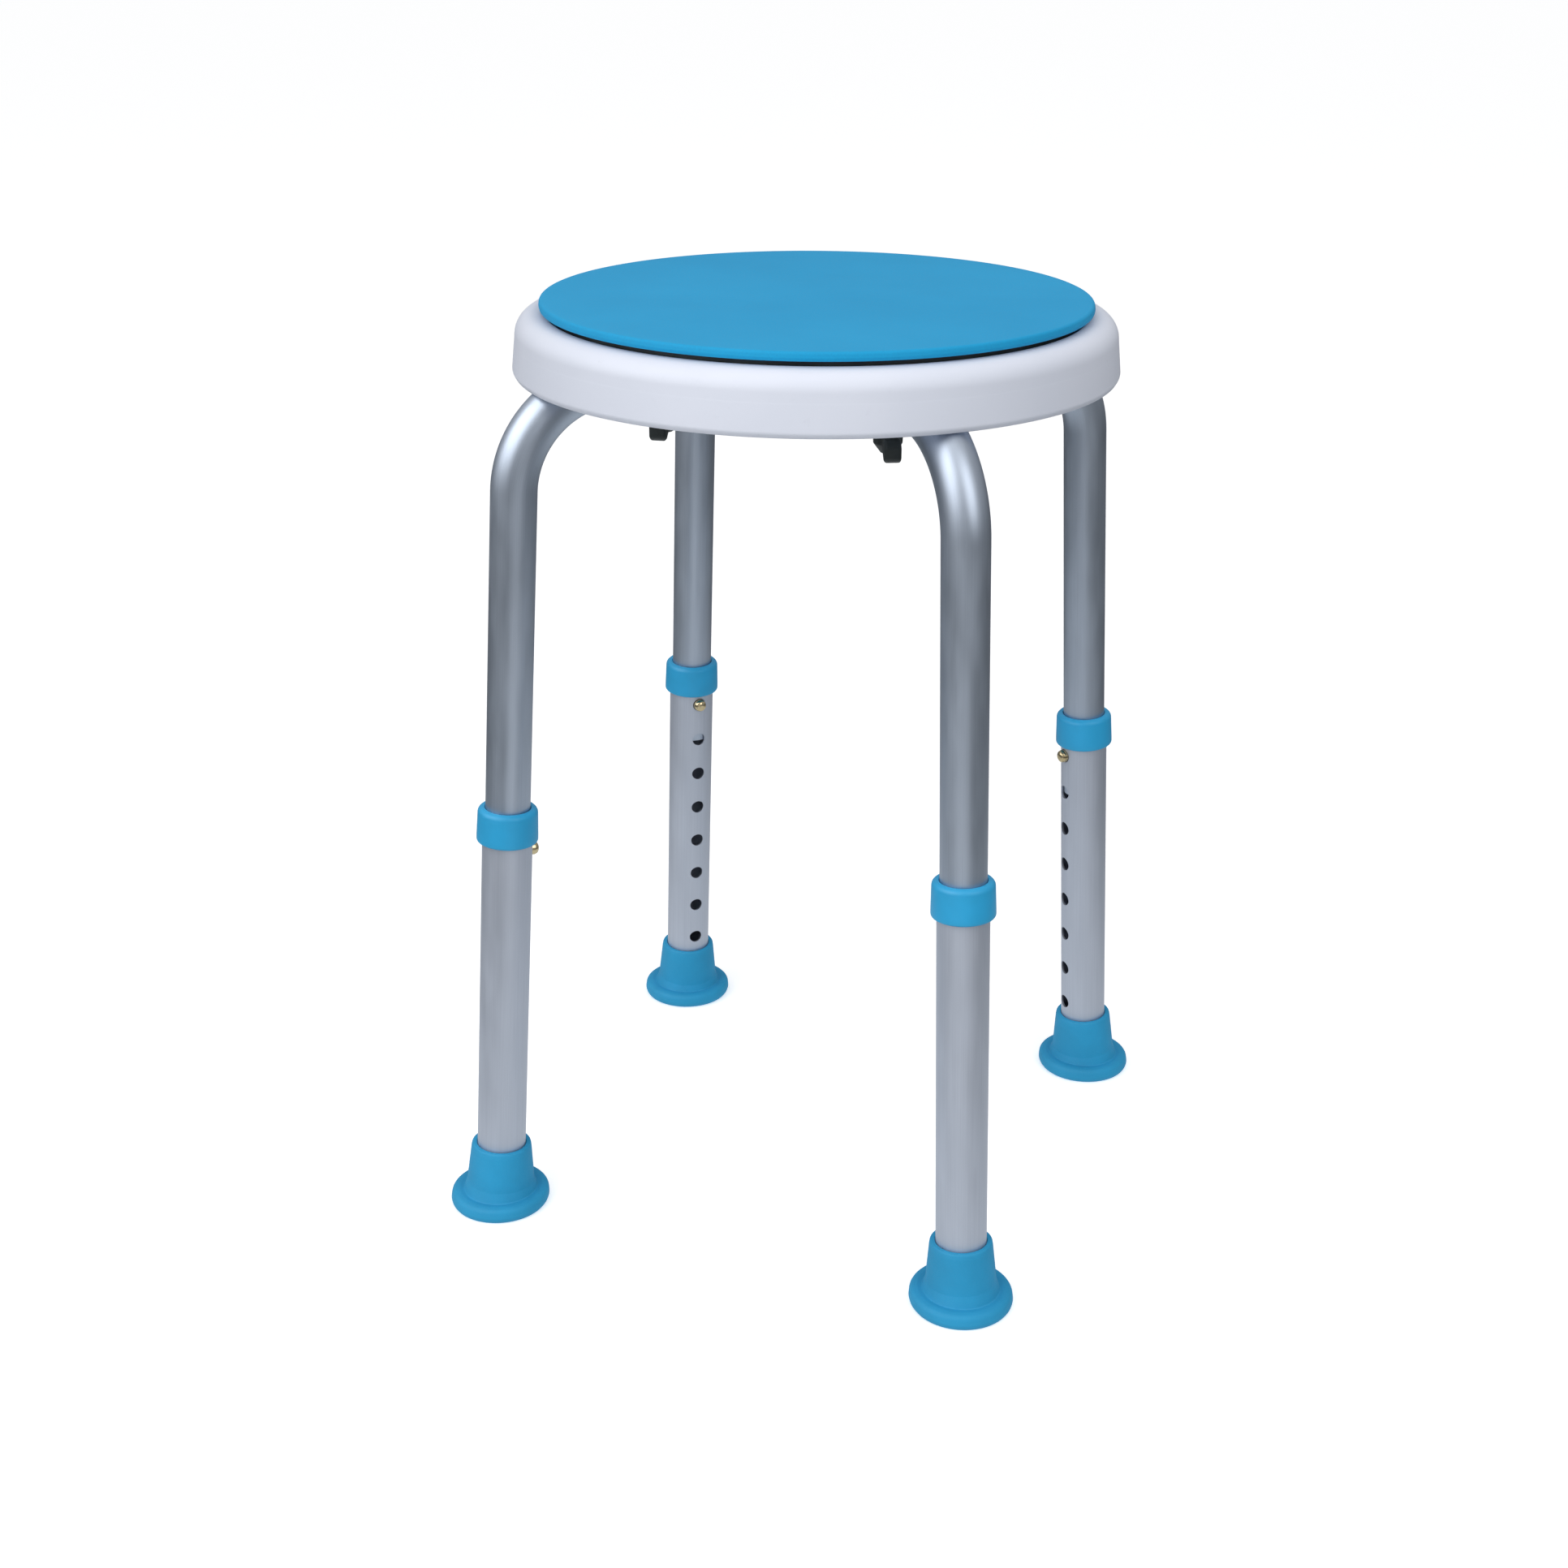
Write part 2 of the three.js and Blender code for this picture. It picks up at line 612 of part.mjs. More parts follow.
/** The collar grips the lower tube's end, and its lip closes on the upper tube. */
function collar() {
  const { bottom, height, radius, topEdge, bottomEdge } = COLLAR;
  const top = bottom + height;
  const sides = 16;
  const grip = boreFor(LOWER_TUBE.outer, sides);
  const neck = boreFor(UPPER_TUBE.outer, sides);
  return ring([
    [grip, bottom],
    ...arc(radius - bottomEdge, bottom + bottomEdge, bottomEdge, -90, 0, 2),
    ...arc(radius - topEdge, top - topEdge, topEdge, 0, 90, 2),
    [neck, top],
    [neck, LOWER_TUBE_TOP + FIT_GAP],
    [grip, LOWER_TUBE_TOP + FIT_GAP],
  ], sides);
}

/** A rubber tip. The leg leans, but the sole stays level, so the lower rings are sheared. */
function footTip() {
  const sides = 16;
  const bore = boreFor(LOWER_TUBE.outer, sides);
  const { flange, lip, height, sole, flangeTop } = TIP;
  const body = turned([
    [0, SOLE_CUP.depth],
    [SOLE_CUP.radius - 1, SOLE_CUP.depth],
    [SOLE_CUP.radius + 1, 0],
    [flange - 2.4, 0],
    [flange, flangeTop / 3],
    [flange - 0.5, (flangeTop * 2) / 3],
    [flange - 2.2, flangeTop - 1.4],
    [flange - 7.5, flangeTop],
    [lip + 2.2, sole],
    [lip, height - 1],
    [lip - 1.5, height],
    [bore, height],
    [bore, sole],
    [0, sole],
  ], sides);
  const position = body.attributes.position;
  for (let i = 0; i < position.count; i += 1) {
    const level = THREE.MathUtils.clamp((sole - position.getZ(i)) / (sole - flangeTop), 0, 1);
    position.setZ(i, position.getZ(i) + level * LEG_SLOPE * position.getX(i));
  }
  return body;
}

/** A sprung button: a round-nosed pin that points at the stool's axis. */
function snapButton() {
  const { radius, base, reach, dome } = BUTTON;
  return turned([
    [0, base],
    [radius, base],
    [radius, reach - dome],
    [radius * 0.9, reach - dome * 0.55],
    [radius * 0.62, reach - dome * 0.18],
    [0, reach],
  ], HOLE_SIDES).rotateZ(Math.PI / HOLE_SIDES).rotateY(Math.PI / 2).translate(0, 0, TOP_HOLE);
}

/** A strip bent to a vee: one arm carries the button, the other leans on the far wall. */
function buttonSpring() {
  const { strip, width, back } = SPRING;
  const front = BUTTON.base - FIT_GAP;
  const armTop = TOP_HOLE + SPRING.armTop;
  const armFoot = TOP_HOLE - SPRING.armFoot;
  const heel = TOP_HOLE - SPRING.heel;
  const outline = [
    [front, armTop], [front, armFoot], [1, heel], [-1.2, heel - 1.5], [-3.4, heel],
    [back, TOP_HOLE - 2], [back, armTop], [back + strip, armTop], [back + strip, TOP_HOLE - 2],
    [-2.5, heel + 0.8], [-1.2, heel - 0.2], [0.1, heel + 0.8],
    [front - strip, armFoot + 0.2], [front - strip, armTop],
  ];
  return new THREE.ExtrudeGeometry(
    new THREE.Shape(outline.map(([x, y]) => new THREE.Vector2(x, y))),
    { depth: width, bevelEnabled: false },
  ).translate(0, 0, -width / 2).rotateX(Math.PI / 2);
}

LEGS.forEach(({ name, azimuth }) => {
  const leg = legGroup(azimuth);
  group.add(leg);
  place(leg, `leg_tube_${name}`, lowerTube(), paleAluminium);
  place(leg, `leg_collar_${name}`, collar(), bluePlastic);
  place(leg, `snap_button_${name}`, snapButton(), brass);
  place(leg, `button_spring_${name}`, buttonSpring(), steel);
  place(leg, `foot_tip_${name}`, footTip(), blueRubber);
  place(leg, `foot_washer_${name}`, turned([
    [0, TIP.sole + FIT_GAP],
    [FOOT_WASHER.radius, TIP.sole + FIT_GAP],
    [FOOT_WASHER.radius, TIP.sole + FIT_GAP + FOOT_WASHER.thickness],
    [0, TIP.sole + FIT_GAP + FOOT_WASHER.thickness],
  ], 16), steel);
});

export default group;
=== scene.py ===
"""A round, backless shower stool with a turning top, in its finished looks.

Shapes are drawn in millimetres in their own frames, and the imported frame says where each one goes.
"""

import math

import bmesh
import bpy
from mathutils import Matrix, Vector, noise


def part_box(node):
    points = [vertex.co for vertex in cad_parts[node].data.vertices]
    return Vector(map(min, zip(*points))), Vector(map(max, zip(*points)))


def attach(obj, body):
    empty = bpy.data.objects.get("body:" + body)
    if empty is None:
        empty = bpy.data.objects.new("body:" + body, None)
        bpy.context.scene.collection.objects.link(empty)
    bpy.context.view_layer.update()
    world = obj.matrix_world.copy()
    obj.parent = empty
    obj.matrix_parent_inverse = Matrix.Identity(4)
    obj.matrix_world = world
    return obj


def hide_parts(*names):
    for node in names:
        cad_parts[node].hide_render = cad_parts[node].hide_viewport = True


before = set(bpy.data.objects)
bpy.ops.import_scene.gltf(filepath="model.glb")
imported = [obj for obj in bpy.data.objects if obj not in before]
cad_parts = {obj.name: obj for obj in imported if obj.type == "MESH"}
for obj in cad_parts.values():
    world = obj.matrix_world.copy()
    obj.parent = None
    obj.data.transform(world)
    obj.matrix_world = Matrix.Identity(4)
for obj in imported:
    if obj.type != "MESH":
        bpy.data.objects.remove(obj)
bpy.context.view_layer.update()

MM = 0.001
MERGE = 0.002  # points closer than this, in millimetres, are one
LEGS = ("front_left", "front_right", "rear_right", "rear_left")
FRAME_BODY = "frame"
TOP_BODY = "turntable"


def corners(node):
    """A CAD node's lowest and highest corners, in millimetres."""
    low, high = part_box(node)
    return low / MM, high / MM


def middle(node):
    """The middle of a CAD node's box, in millimetres."""
    low, high = corners(node)
    return (low + high) / 2


# ---- driving dimensions, in millimetres ----

FIT_GAP = 0.3
SCREWS = (1, 2, 3, 4)
SEAT_LOW, SEAT_HIGH = corners("seat_base")
SEAT_RADIUS = SEAT_HIGH.x
SEAT = {
    "bottom": SEAT_LOW.z,
    "rim_top": SEAT_HIGH.z,
    "rim_radius": 155,
    "shoulder": 11,
    "well_radius": 148.4,
    "well_floor": 507.6,
    "wall": 3.6,
    "draft": 0.102,
    "crease": 505.4,
    "crease_step": 0.12,
}
CEILING = SEAT["well_floor"] - SEAT["wall"]
RIB = {
    "bottom": 491.5, "thickness": 2.6, "taper": 0.3, "inner": 42, "outer": 152, "spoke": 30,
}
UPPER_TUBE = {"outer": 12.7, "inner": 11.5}
LOWER_TUBE = {"outer": 14.3, "inner": 13.1}
TUBE_LEVEL = 491
BEND_RADIUS = 58
FOOT_CIRCLE = 205
FLAT = {"half_height": 6.2, "half_width": 16.6, "reach": 19, "round_reach": 38}
HOLE = {"top": 228.5, "pitch": 25.4, "count": 8, "radius": 4.3, "near": 8, "far": 20}
BOLT_HOLE = 3.4
SCREW_HOLE = 1.8
CUT_PAST = {"plate": 5, "seat": 10, "tube": 30}  # how far cutting bars run past what they cut
UPPER_TUBE_END = HOLE["top"] - 1.05 * HOLE["pitch"]
LOWER_TUBE_ENDS = (16.2, 252)
COLLAR = {"bottom": 235, "top": 255.5, "radius": 17.5, "waist": 16.95, "lip_inside": 252.3}
TIP = {"flange": 29.4, "flange_top": 10.4, "sole": 14, "height": 39.5, "boot": 19.8, "lip": 17.4}
BUTTON = {"radius": 4, "base": 7.4, "reach": 18.5}
KNOB = {"hub": 8.2, "height": 16, "wing": 21.5, "thickness": 9, "bore": 11.5}
KNOB_TURNS = {"front_left": 100, "front_right": 116, "rear_right": 80, "rear_left": 115}
WASHER_ABOVE_FLOOR = 15.1  # the foot washer's middle, up the leg's line
FLOOR_DROP = 0.3  # keeps the floor just clear of the soles

# ---- camera: millimetres and degrees ----

CAMERA = {
    "target": Vector((-15.32, -5.73, 237.11)),
    "distance": 1339.8,
    "azimuth": 20.52,
    "elevation": 22.58,
    "roll": 0.34,
    "lens": 51.24,
    "sensor": 36,
}


def make_camera():
    """The camera of the photo's viewpoint, on a sphere about its target."""
    camera = bpy.data.objects.new("camera", bpy.data.cameras.new("camera"))
    bpy.context.scene.collection.objects.link(camera)
    bpy.context.scene.camera = camera
    camera.data.sensor_width = CAMERA["sensor"]
    camera.data.lens = CAMERA["lens"]
    azimuth = math.radians(CAMERA["azimuth"])
    elevation = math.radians(CAMERA["elevation"])
    back = Vector((
        math.sin(azimuth) * math.cos(elevation),
        -math.cos(azimuth) * math.cos(elevation),
        math.sin(elevation),
    ))
    turn = (-back).to_track_quat("-Z", "Y").to_matrix()
    roll = Matrix.Rotation(math.radians(CAMERA["roll"]), 3, "Z")
    camera.matrix_world = Matrix.LocRotScale(
        (CAMERA["target"] + back * CAMERA["distance"]) * MM, (turn @ roll).to_quaternion(), None
    )


make_camera()

# ---- shader nodes ----


def add(tree, kind, inputs=None, **settings):
    """A shader node with its settings and inputs; an input may be another node's output."""
    node = tree.nodes.new("ShaderNode" + kind)
    for key, value in settings.items():
        setattr(node, key, value)
    for key, value in (inputs or {}).items():
        if isinstance(value, bpy.types.NodeSocket):
            tree.links.new(value, node.inputs[key])
        else:
            node.inputs[key].default_value = value
    return node


def srgb(red, green, blue, share=1.0):
    """A colour given as a screen shows it, in linear light."""
    return tuple(share * (value / 255) ** 2.2 for value in (red, green, blue)) + (1.0,)


def new_material(name, **sockets):
    """A material with its Principled shader; sockets are the shader's own plain values."""
    material = bpy.data.materials.new(name)
    material.use_nodes = True
    shader = material.node_tree.nodes["Principled BSDF"]
    for key, value in sockets.items():
        shader.inputs[key.replace("_", " ")].default_value = value
    return material, material.node_tree, shader


def spots(tree, scale, detail=2.0, where=None, roughness=0.5):
    """Soft noise, in object space unless where says otherwise; scale is in cycles per metre."""
    if where is None:
        where = add(tree, "TexCoord").outputs["Object"]
    inputs = {"Vector": where, "Scale": scale, "Detail": detail, "Roughness": roughness}
    return add(tree, "TexNoise", inputs).outputs["Fac"]


def stretched(tree, across, along):
    """Texture space along a swept piece: across its girth and along its length, per millimetre."""
    place = add(tree, "UVMap", uv_map="girth_length").outputs["UV"]
    return add(tree, "Mapping", {"Vector": place, "Scale": (across, along, 1)}).outputs["Vector"]


def between(tree, factor, low, high, start=0.3, end=0.7):
    """A value that runs from low to high as the factor runs from start to end."""
    inputs = {
        "Value": factor, "From Min": start, "From Max": end, "To Min": low, "To Max": high,
    }
    return add(tree, "MapRange", inputs, clamp=True).outputs["Result"]


def tint(tree, factor, dark, light, start=0.3, end=0.7):
    """A colour that runs from dark to light as the factor runs from start to end."""
    share = between(tree, factor, 0, 1, start, end)
    mix = add(tree, "Mix", {"Factor": share, 6: dark, 7: light}, data_type="RGBA")
    return mix.outputs[2]


def edge_wear(tree, reach):
    """From 0 on flat ground to 1 on the edges that hands and use have rubbed."""
    sharp = add(tree, "Bevel", {"Radius": reach}, samples=4).outputs["Normal"]
    normal = add(tree, "NewGeometry").outputs["Normal"]
    inputs = {0: sharp, 1: normal}
    alike = add(tree, "VectorMath", inputs, operation="DOT_PRODUCT").outputs["Value"]
    return between(tree, alike, low=1, high=0, start=0.9, end=0.995)


def bumped(tree, shader, *layers):
    """Feeds (height, strength, distance in metres) layers of relief to the shader's normal."""
    normal = None
    for height, strength, distance in layers:
        inputs = {"Height": height, "Strength": strength, "Distance": distance}
        if normal is not None:
            inputs["Normal"] = normal
        normal = add(tree, "Bump", inputs).outputs["Normal"]
    tree.links.new(normal, shader.inputs["Normal"])


# ---- materials ----


def foam():
    """Matte closed-cell foam with a fine skin."""
    material, tree, shader = new_material(
        "blue_foam", Sheen_Weight=0.06, Sheen_Roughness=0.6, Specular_IOR_Level=0.2
    )
    shader.inputs["Sheen Tint"].default_value = srgb(190, 225, 245)
    cloud = spots(tree, scale=14, detail=4)
    cells = spots(tree, scale=950, detail=2, roughness=0.7)
    broad = tint(tree, cloud, srgb(30, 156, 210), srgb(36, 165, 219))
    fine = tint(tree, cells, srgb(24, 145, 200), srgb(43, 173, 226), start=0.25, end=0.75)
    mix = add(tree, "Mix", {"Factor": 0.35, 6: broad, 7: fine}, data_type="RGBA")
    tree.links.new(mix.outputs[2], shader.inputs["Base Color"])
    tree.links.new(between(tree, cells, low=0.62, high=0.85), shader.inputs["Roughness"])
    bumped(tree, shader, (cloud, 0.25, 0.0006), (cells, 0.5, 0.00014))
    return material


def seat_plastic():
    """Off-white moulded polyethylene with a fine satin grain."""
    material, tree, shader = new_material("white_plastic", Specular_IOR_Level=0.3)
    cloud = spots(tree, scale=9, detail=3)
    grain = spots(tree, scale=1300, detail=2, roughness=0.65)
    scuffs = spots(tree, scale=160, detail=6, roughness=0.75)
    tone = tint(tree, cloud, srgb(226, 231, 244), srgb(234, 238, 250))
    scuffed = between(tree, scuffs, low=0, high=0.5, start=0.6, end=0.8)
    mix = add(tree, "Mix", {"Factor": scuffed, 6: tone, 7: srgb(218, 222, 234)}, data_type="RGBA")
    tree.links.new(mix.outputs[2], shader.inputs["Base Color"])
    tree.links.new(between(tree, scuffs, low=0.44, high=0.58), shader.inputs["Roughness"])
    bumped(tree, shader, (cloud, 0.15, 0.0005), (grain, 0.35, 0.00006))
    return material


def anodised(name, light, dark, smooth, rough):
    """Drawn and anodised aluminium tube: fine lines along its length under a satin skin."""
    material, tree, shader = new_material(name, Metallic=1.0)
    lines = spots(tree, scale=1.0, detail=3, where=stretched(tree, across=2.6, along=0.012))
    broad = spots(tree, scale=1.0, detail=2, where=stretched(tree, across=0.09, along=0.02))
    pores = spots(tree, scale=1500, detail=2)
    tone = tint(tree, lines, dark, light)
    haze = tint(tree, broad, dark, light)
    mix = add(tree, "Mix", {"Factor": 0.5, 6: tone, 7: haze}, data_type="RGBA")
    tree.links.new(mix.outputs[2], shader.inputs["Base Color"])
    tree.links.new(between(tree, broad, smooth, rough), shader.inputs["Roughness"])
    bumped(tree, shader, (lines, 0.18, 0.00005), (pores, 0.12, 0.00003))
    return material


def blue_moulding(name, base, smooth, rough, grain_depth):
    """Blue moulded plastic or rubber, rubbed paler along its edges."""
    material, tree, shader = new_material(name, Specular_IOR_Level=0.4)
    cloud = spots(tree, scale=35, detail=3)
    grain = spots(tree, scale=1100, detail=3, roughness=0.7)
    tone = tint(tree, cloud, srgb(*base, 0.9), srgb(*base, 1.06))
    worn = between(tree, edge_wear(tree, reach=0.0008), low=0, high=0.25, start=0, end=1)
    pale = srgb(120, 195, 232)
    mix = add(tree, "Mix", {"Factor": worn, 6: tone, 7: pale}, data_type="RGBA")
    tree.links.new(mix.outputs[2], shader.inputs["Base Color"])
    tree.links.new(between(tree, grain, smooth, rough), shader.inputs["Roughness"])
    bumped(tree, shader, (grain, 0.4, grain_depth))
    return material


def black_plastic():
    """Dark moulded plastic with a low sheen: the knobs' own colour, and painted shade on the turning
    disc under the pad.
    """
    material, tree, shader = new_material("black_plastic", Specular_IOR_Level=0.5)
    cloud = spots(tree, scale=60, detail=3)
    grain = spots(tree, scale=1400, detail=2, roughness=0.7)
    tone = tint(tree, cloud, srgb(40, 45, 44), srgb(56, 62, 61))
    worn = between(tree, edge_wear(tree, reach=0.0006), low=0, high=0.35, start=0, end=1)
    mix = add(tree, "Mix", {"Factor": worn, 6: tone, 7: srgb(92, 99, 99)}, data_type="RGBA")
    tree.links.new(mix.outputs[2], shader.inputs["Base Color"])
    tree.links.new(between(tree, grain, low=0.38, high=0.55), shader.inputs["Roughness"])
    bumped(tree, shader, (grain, 0.35, 0.00008))
    return material


def metal(name, light, dark, smooth, rough, mark_scale):
    """Bare or plated metal with fine marks from its making, mark_scale of them to the metre."""
    material, tree, shader = new_material(name, Metallic=1.0)
    cloud = spots(tree, scale=120, detail=3)
    marks = spots(tree, scale=mark_scale, detail=4, roughness=0.7)
    tone = tint(tree, cloud, dark, light)
    tree.links.new(tone, shader.inputs["Base Color"])
    tree.links.new(between(tree, marks, smooth, rough), shader.inputs["Roughness"])
    bumped(tree, shader, (marks, 0.15, 0.00003))
    return material


FOAM = foam()
WHITE = seat_plastic()
UPPER_ALUMINIUM = anodised(
    "satin_aluminium", srgb(194, 204, 218), srgb(179, 189, 203), 0.41, 0.49
)
LOWER_ALUMINIUM = anodised(
    "matte_aluminium", srgb(206, 212, 223), srgb(192, 198, 210), 0.54, 0.64
)
COLLAR_BLUE = blue_moulding("collar_blue", (47, 166, 219), 0.38, 0.5, 0.00005)
RUBBER_BLUE = blue_moulding("rubber_blue", (38, 149, 197), 0.6, 0.78, 0.0001)
BLACK_AND_GAP_SHADE = black_plastic()
BRASS = metal("polished_brass", srgb(214, 198, 160), srgb(186, 168, 130), 0.12, 0.24, 900)
STEEL = metal("plated_steel", srgb(196, 198, 200), srgb(172, 174, 177), 0.24, 0.4, 1400)
BEARING_STEEL = metal("bearing_steel", srgb(186, 188, 190), srgb(160, 162, 165), 0.15, 0.3, 2200)

# ---- mesh helpers ----


def arc(centre_x, centre_y, radius, start, end, steps=8):
    """Points of a circle's arc between two angles in degrees."""
    points = []
    for i in range(steps + 1):
        angle = math.radians(start + (end - start) * i / steps)
        points.append((centre_x + radius * math.cos(angle), centre_y + radius * math.sin(angle)))
    return points


def rounded(outline, steps=5):
    """An outline whose corners, given as (x, y, fillet), are turned into tangent arcs."""
    points = []
    for i, (x, y, fillet) in enumerate(outline):
        here = Vector((x, y))
        if not fillet:
            points.append(tuple(here))
            continue
        before = (Vector(outline[i - 1][:2]) - here).normalized()
        after = (Vector(outline[(i + 1) % len(outline)][:2]) - here).normalized()
        half = before.angle(after) / 2
        centre = here + (before + after).normalized() * (fillet / math.sin(half))
        first = here + before * (fillet / math.tan(half)) - centre
        last = here + after * (fillet / math.tan(half)) - centre
        start = math.degrees(math.atan2(first.y, first.x))
        sweep = math.degrees(math.atan2(last.y, last.x)) - start
        sweep = (sweep + 180) % 360 - 180
        points += arc(centre.x, centre.y, fillet, start, start + sweep, steps)
    return points


def skin(rows, loop=False, capped=False):
    """A mesh through rows of points, each row a ring.

    loop joins the last ring to the first, and capped fills both end rings. The UV map holds how far
    round and how far along the piece each corner lies, in millimetres.
    """
    sides = len(rows[0])
    mesh = bpy.data.meshes.new("skin")
    faces = []
    places = []
    girth = sum((rows[0][j] - rows[0][j - 1]).length for j in range(sides))
    along = [0.0]
    for i in range(1, len(rows) + 1):
        step = (rows[i % len(rows)][0] - rows[i - 1][0]).length
        along.append(along[-1] + step)
    for i in range(len(rows) if loop else len(rows) - 1):
        following = (i + 1) % len(rows)
        for j in range(sides):
            beside = (j + 1) % sides
            faces.append((
                i * sides + j, i * sides + beside, following * sides + beside, following * sides + j,
            ))
            left, right = j * girth / sides, (j + 1) * girth / sides
            places += [(left, along[i]), (right, along[i])]
            places += [(right, along[i + 1]), (left, along[i + 1])]
    if capped:
        for first, turned in ((0, True), ((len(rows) - 1) * sides, False)):
            ring = [first + j for j in range(sides)]
            faces.append(tuple(reversed(ring)) if turned else tuple(ring))
            places += [(0.0, 0.0)] * sides
    mesh.from_pydata([tuple(point) for row in rows for point in row], [], faces)
    layer = mesh.uv_layers.new(name="girth_length")
    layer.data.foreach_set("uv", [value for place in places for value in place])
    return tidied(mesh)


def tidied(mesh):
    """The mesh with doubled points merged and its faces turned outwards."""
    work = bmesh.new()
    work.from_mesh(mesh)
    bmesh.ops.remove_doubles(work, verts=work.verts, dist=MERGE)
    bmesh.ops.recalc_face_normals(work, faces=work.faces)
    work.to_mesh(mesh)
    work.free()
    return mesh


def lathe(outline, sides=96, closed=False):
    """A mesh turned about +Z from an outline of (radius, height) points."""
    rows = []
    for radius, height in outline:
        rows.append([
            Vector((
                radius * math.cos(math.tau * j / sides),
                radius * math.sin(math.tau * j / sides),
                height,
            ))
            for j in range(sides)
        ])
    return skin(rows, closed)


def rod(radius, bottom, top, sides=48):
    """A plain round bar along +Z, for cutting holes with."""
    return lathe([(0, bottom), (radius, bottom), (radius, top), (0, top)], sides)


def prism(outline, thickness):
    """An outline in X and Z, thickened evenly to both sides of Y."""
    rows = []
    for y in (-thickness / 2, thickness / 2):
        rows.append([Vector((x, y, z)) for x, z in outline])
    return skin(rows, capped=True)


def moved(mesh, matrix):
    """The same mesh, moved by a matrix."""
    mesh.transform(matrix)
    return mesh


def turned(mesh, azimuth, radius=0.0, height=0.0):
    """The mesh moved out along +X, up, and then turned about the vertical to an azimuth."""
    shift = Matrix.Translation((radius, 0, height))
    return moved(mesh, Matrix.Rotation(math.radians(azimuth), 4, "Z") @ shift)


def scratch(mesh):
    """A passing object that carries a mesh while modifiers work on it."""
    body = bpy.data.objects.new("scratch", mesh)
    bpy.context.scene.collection.objects.link(body)
    return body


def settled(body, *tools):
    """The mesh that an object's modifiers make; the object and its tools are removed."""
    graph = bpy.context.evaluated_depsgraph_get()
    mesh = bpy.data.meshes.new_from_object(
        body.evaluated_get(graph), preserve_all_data_layers=True, depsgraph=graph
    )
    for spent in (body, *tools):
        bpy.data.objects.remove(spent)
    return mesh


def combined(mesh, *steps):
    """The mesh after each (operation, meshes) step; a step's meshes stay clear of each other."""
    body = scratch(mesh)
    tools = []
    for operation, group in steps:
        tool = scratch(gathered(group))
        modifier = body.modifiers.new("combine", "BOOLEAN")
        modifier.operation = operation
        modifier.solver = "EXACT"
        modifier.object = tool
        tools.append(tool)
    return settled(body, *tools)


def gathered(meshes):
    """Several separate meshes as one."""
    work = bmesh.new()
    for mesh in meshes:
        work.from_mesh(mesh)
    result = bpy.data.meshes.new("gathered")
    work.to_mesh(result)
    work.free()
    return result


def softened(mesh, width, segments, angle):
    """The mesh with its sharp edges bevelled."""
    body = scratch(mesh)
    modifier = body.modifiers.new("bevel", "BEVEL")
    modifier.width = width
    modifier.segments = segments
    modifier.limit_method = "ANGLE"
    modifier.angle_limit = math.radians(angle)
    return settled(body)


def piece(name, mesh, material, body, node, place=None, smooth=32):
    """A finished piece: placed, in metres, shaded, riding on its body and standing for its node."""
    if place is not None:
        mesh = mesh.copy()
        mesh.transform(place)
    mesh.transform(Matrix.Scale(MM, 4))
    mesh.name = name
    mesh.materials.clear()
    mesh.materials.append(material)
    mesh.shade_smooth()
    mesh.set_sharp_from_angle(angle=math.radians(smooth))
    result = bpy.data.objects.new(name, mesh)
    bpy.context.scene.collection.objects.link(result)
    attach(result, body)
    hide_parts(node)
    return result


# ---- places ----


def leg_place(leg):
    """The leg's frame: +Z up the leg from the floor, and +X towards the stool's axis."""
    washer = middle("foot_washer_" + leg)
    up = (middle("leg_tube_" + leg) - washer).normalized()
    outward = Vector((washer.x, washer.y, 0)).normalized()
    across = up.cross(-outward).normalized()
    inward = across.cross(up)
    origin = washer - up * WASHER_ABOVE_FLOOR
    place = Matrix((inward, across, up)).transposed().to_4x4()
    place.translation = origin
    return place


PLACES = {leg: leg_place(leg) for leg in LEGS}


def leg_slope():
    """How far a leg leans outwards for each millimetre down."""
    up = PLACES[LEGS[0]].col[2].to_3d()
    return up.xy.length / up.z


SLOPE = leg_slope()


def azimuth_of(node):
    """The compass direction of a CAD node from the stool's axis, in degrees."""
    spot = middle(node)
    return math.degrees(math.atan2(spot.y, spot.x))


def reach_of(node):
    """How far a CAD node's middle is from the stool's axis."""
    return middle(node).xy.length


# ---- pad and swivel disc ----


def seat_pad():
    """A flat foam disc with a rolled edge and a barely uneven top."""
    low, high = corners("seat_pad")
    radius, bottom, top = high.x, low.z, high.z
    swell = 0.14
    edge_width = 12
    edge = [
        (0, bottom, 0),
        (radius - 0.5, bottom, 0.7),
        (radius, bottom + 1.8, 0.9),
        (radius - 0.4, top - 0.1, 1.9),
        (radius - 6.0, top - swell, 8.0),
        (radius - edge_width, top - swell, 0),
    ]
    inner_rings = 34
    outline = rounded(edge)
    for i in range(1, inner_rings + 1):
        outline.append((edge[-1][0] * (1 - i / inner_rings), top - swell))
    mesh = lathe(outline, sides=192)
    broad_wave, fine_wave = 0.021, 0.06  # waves to the millimetre
    for vertex in mesh.vertices:
        if vertex.co.z > top - 1:
            share = min(1.0, (radius - vertex.co.xy.length) / edge_width)
            broad = noise.noise(vertex.co * broad_wave)
            wave = broad + 0.5 * noise.noise(vertex.co * fine_wave)
            vertex.co.z += max(-swell, min(swell, wave * swell)) * share
    pad = piece("foam_pad", mesh, FOAM, TOP_BODY, "seat_pad", smooth=60)


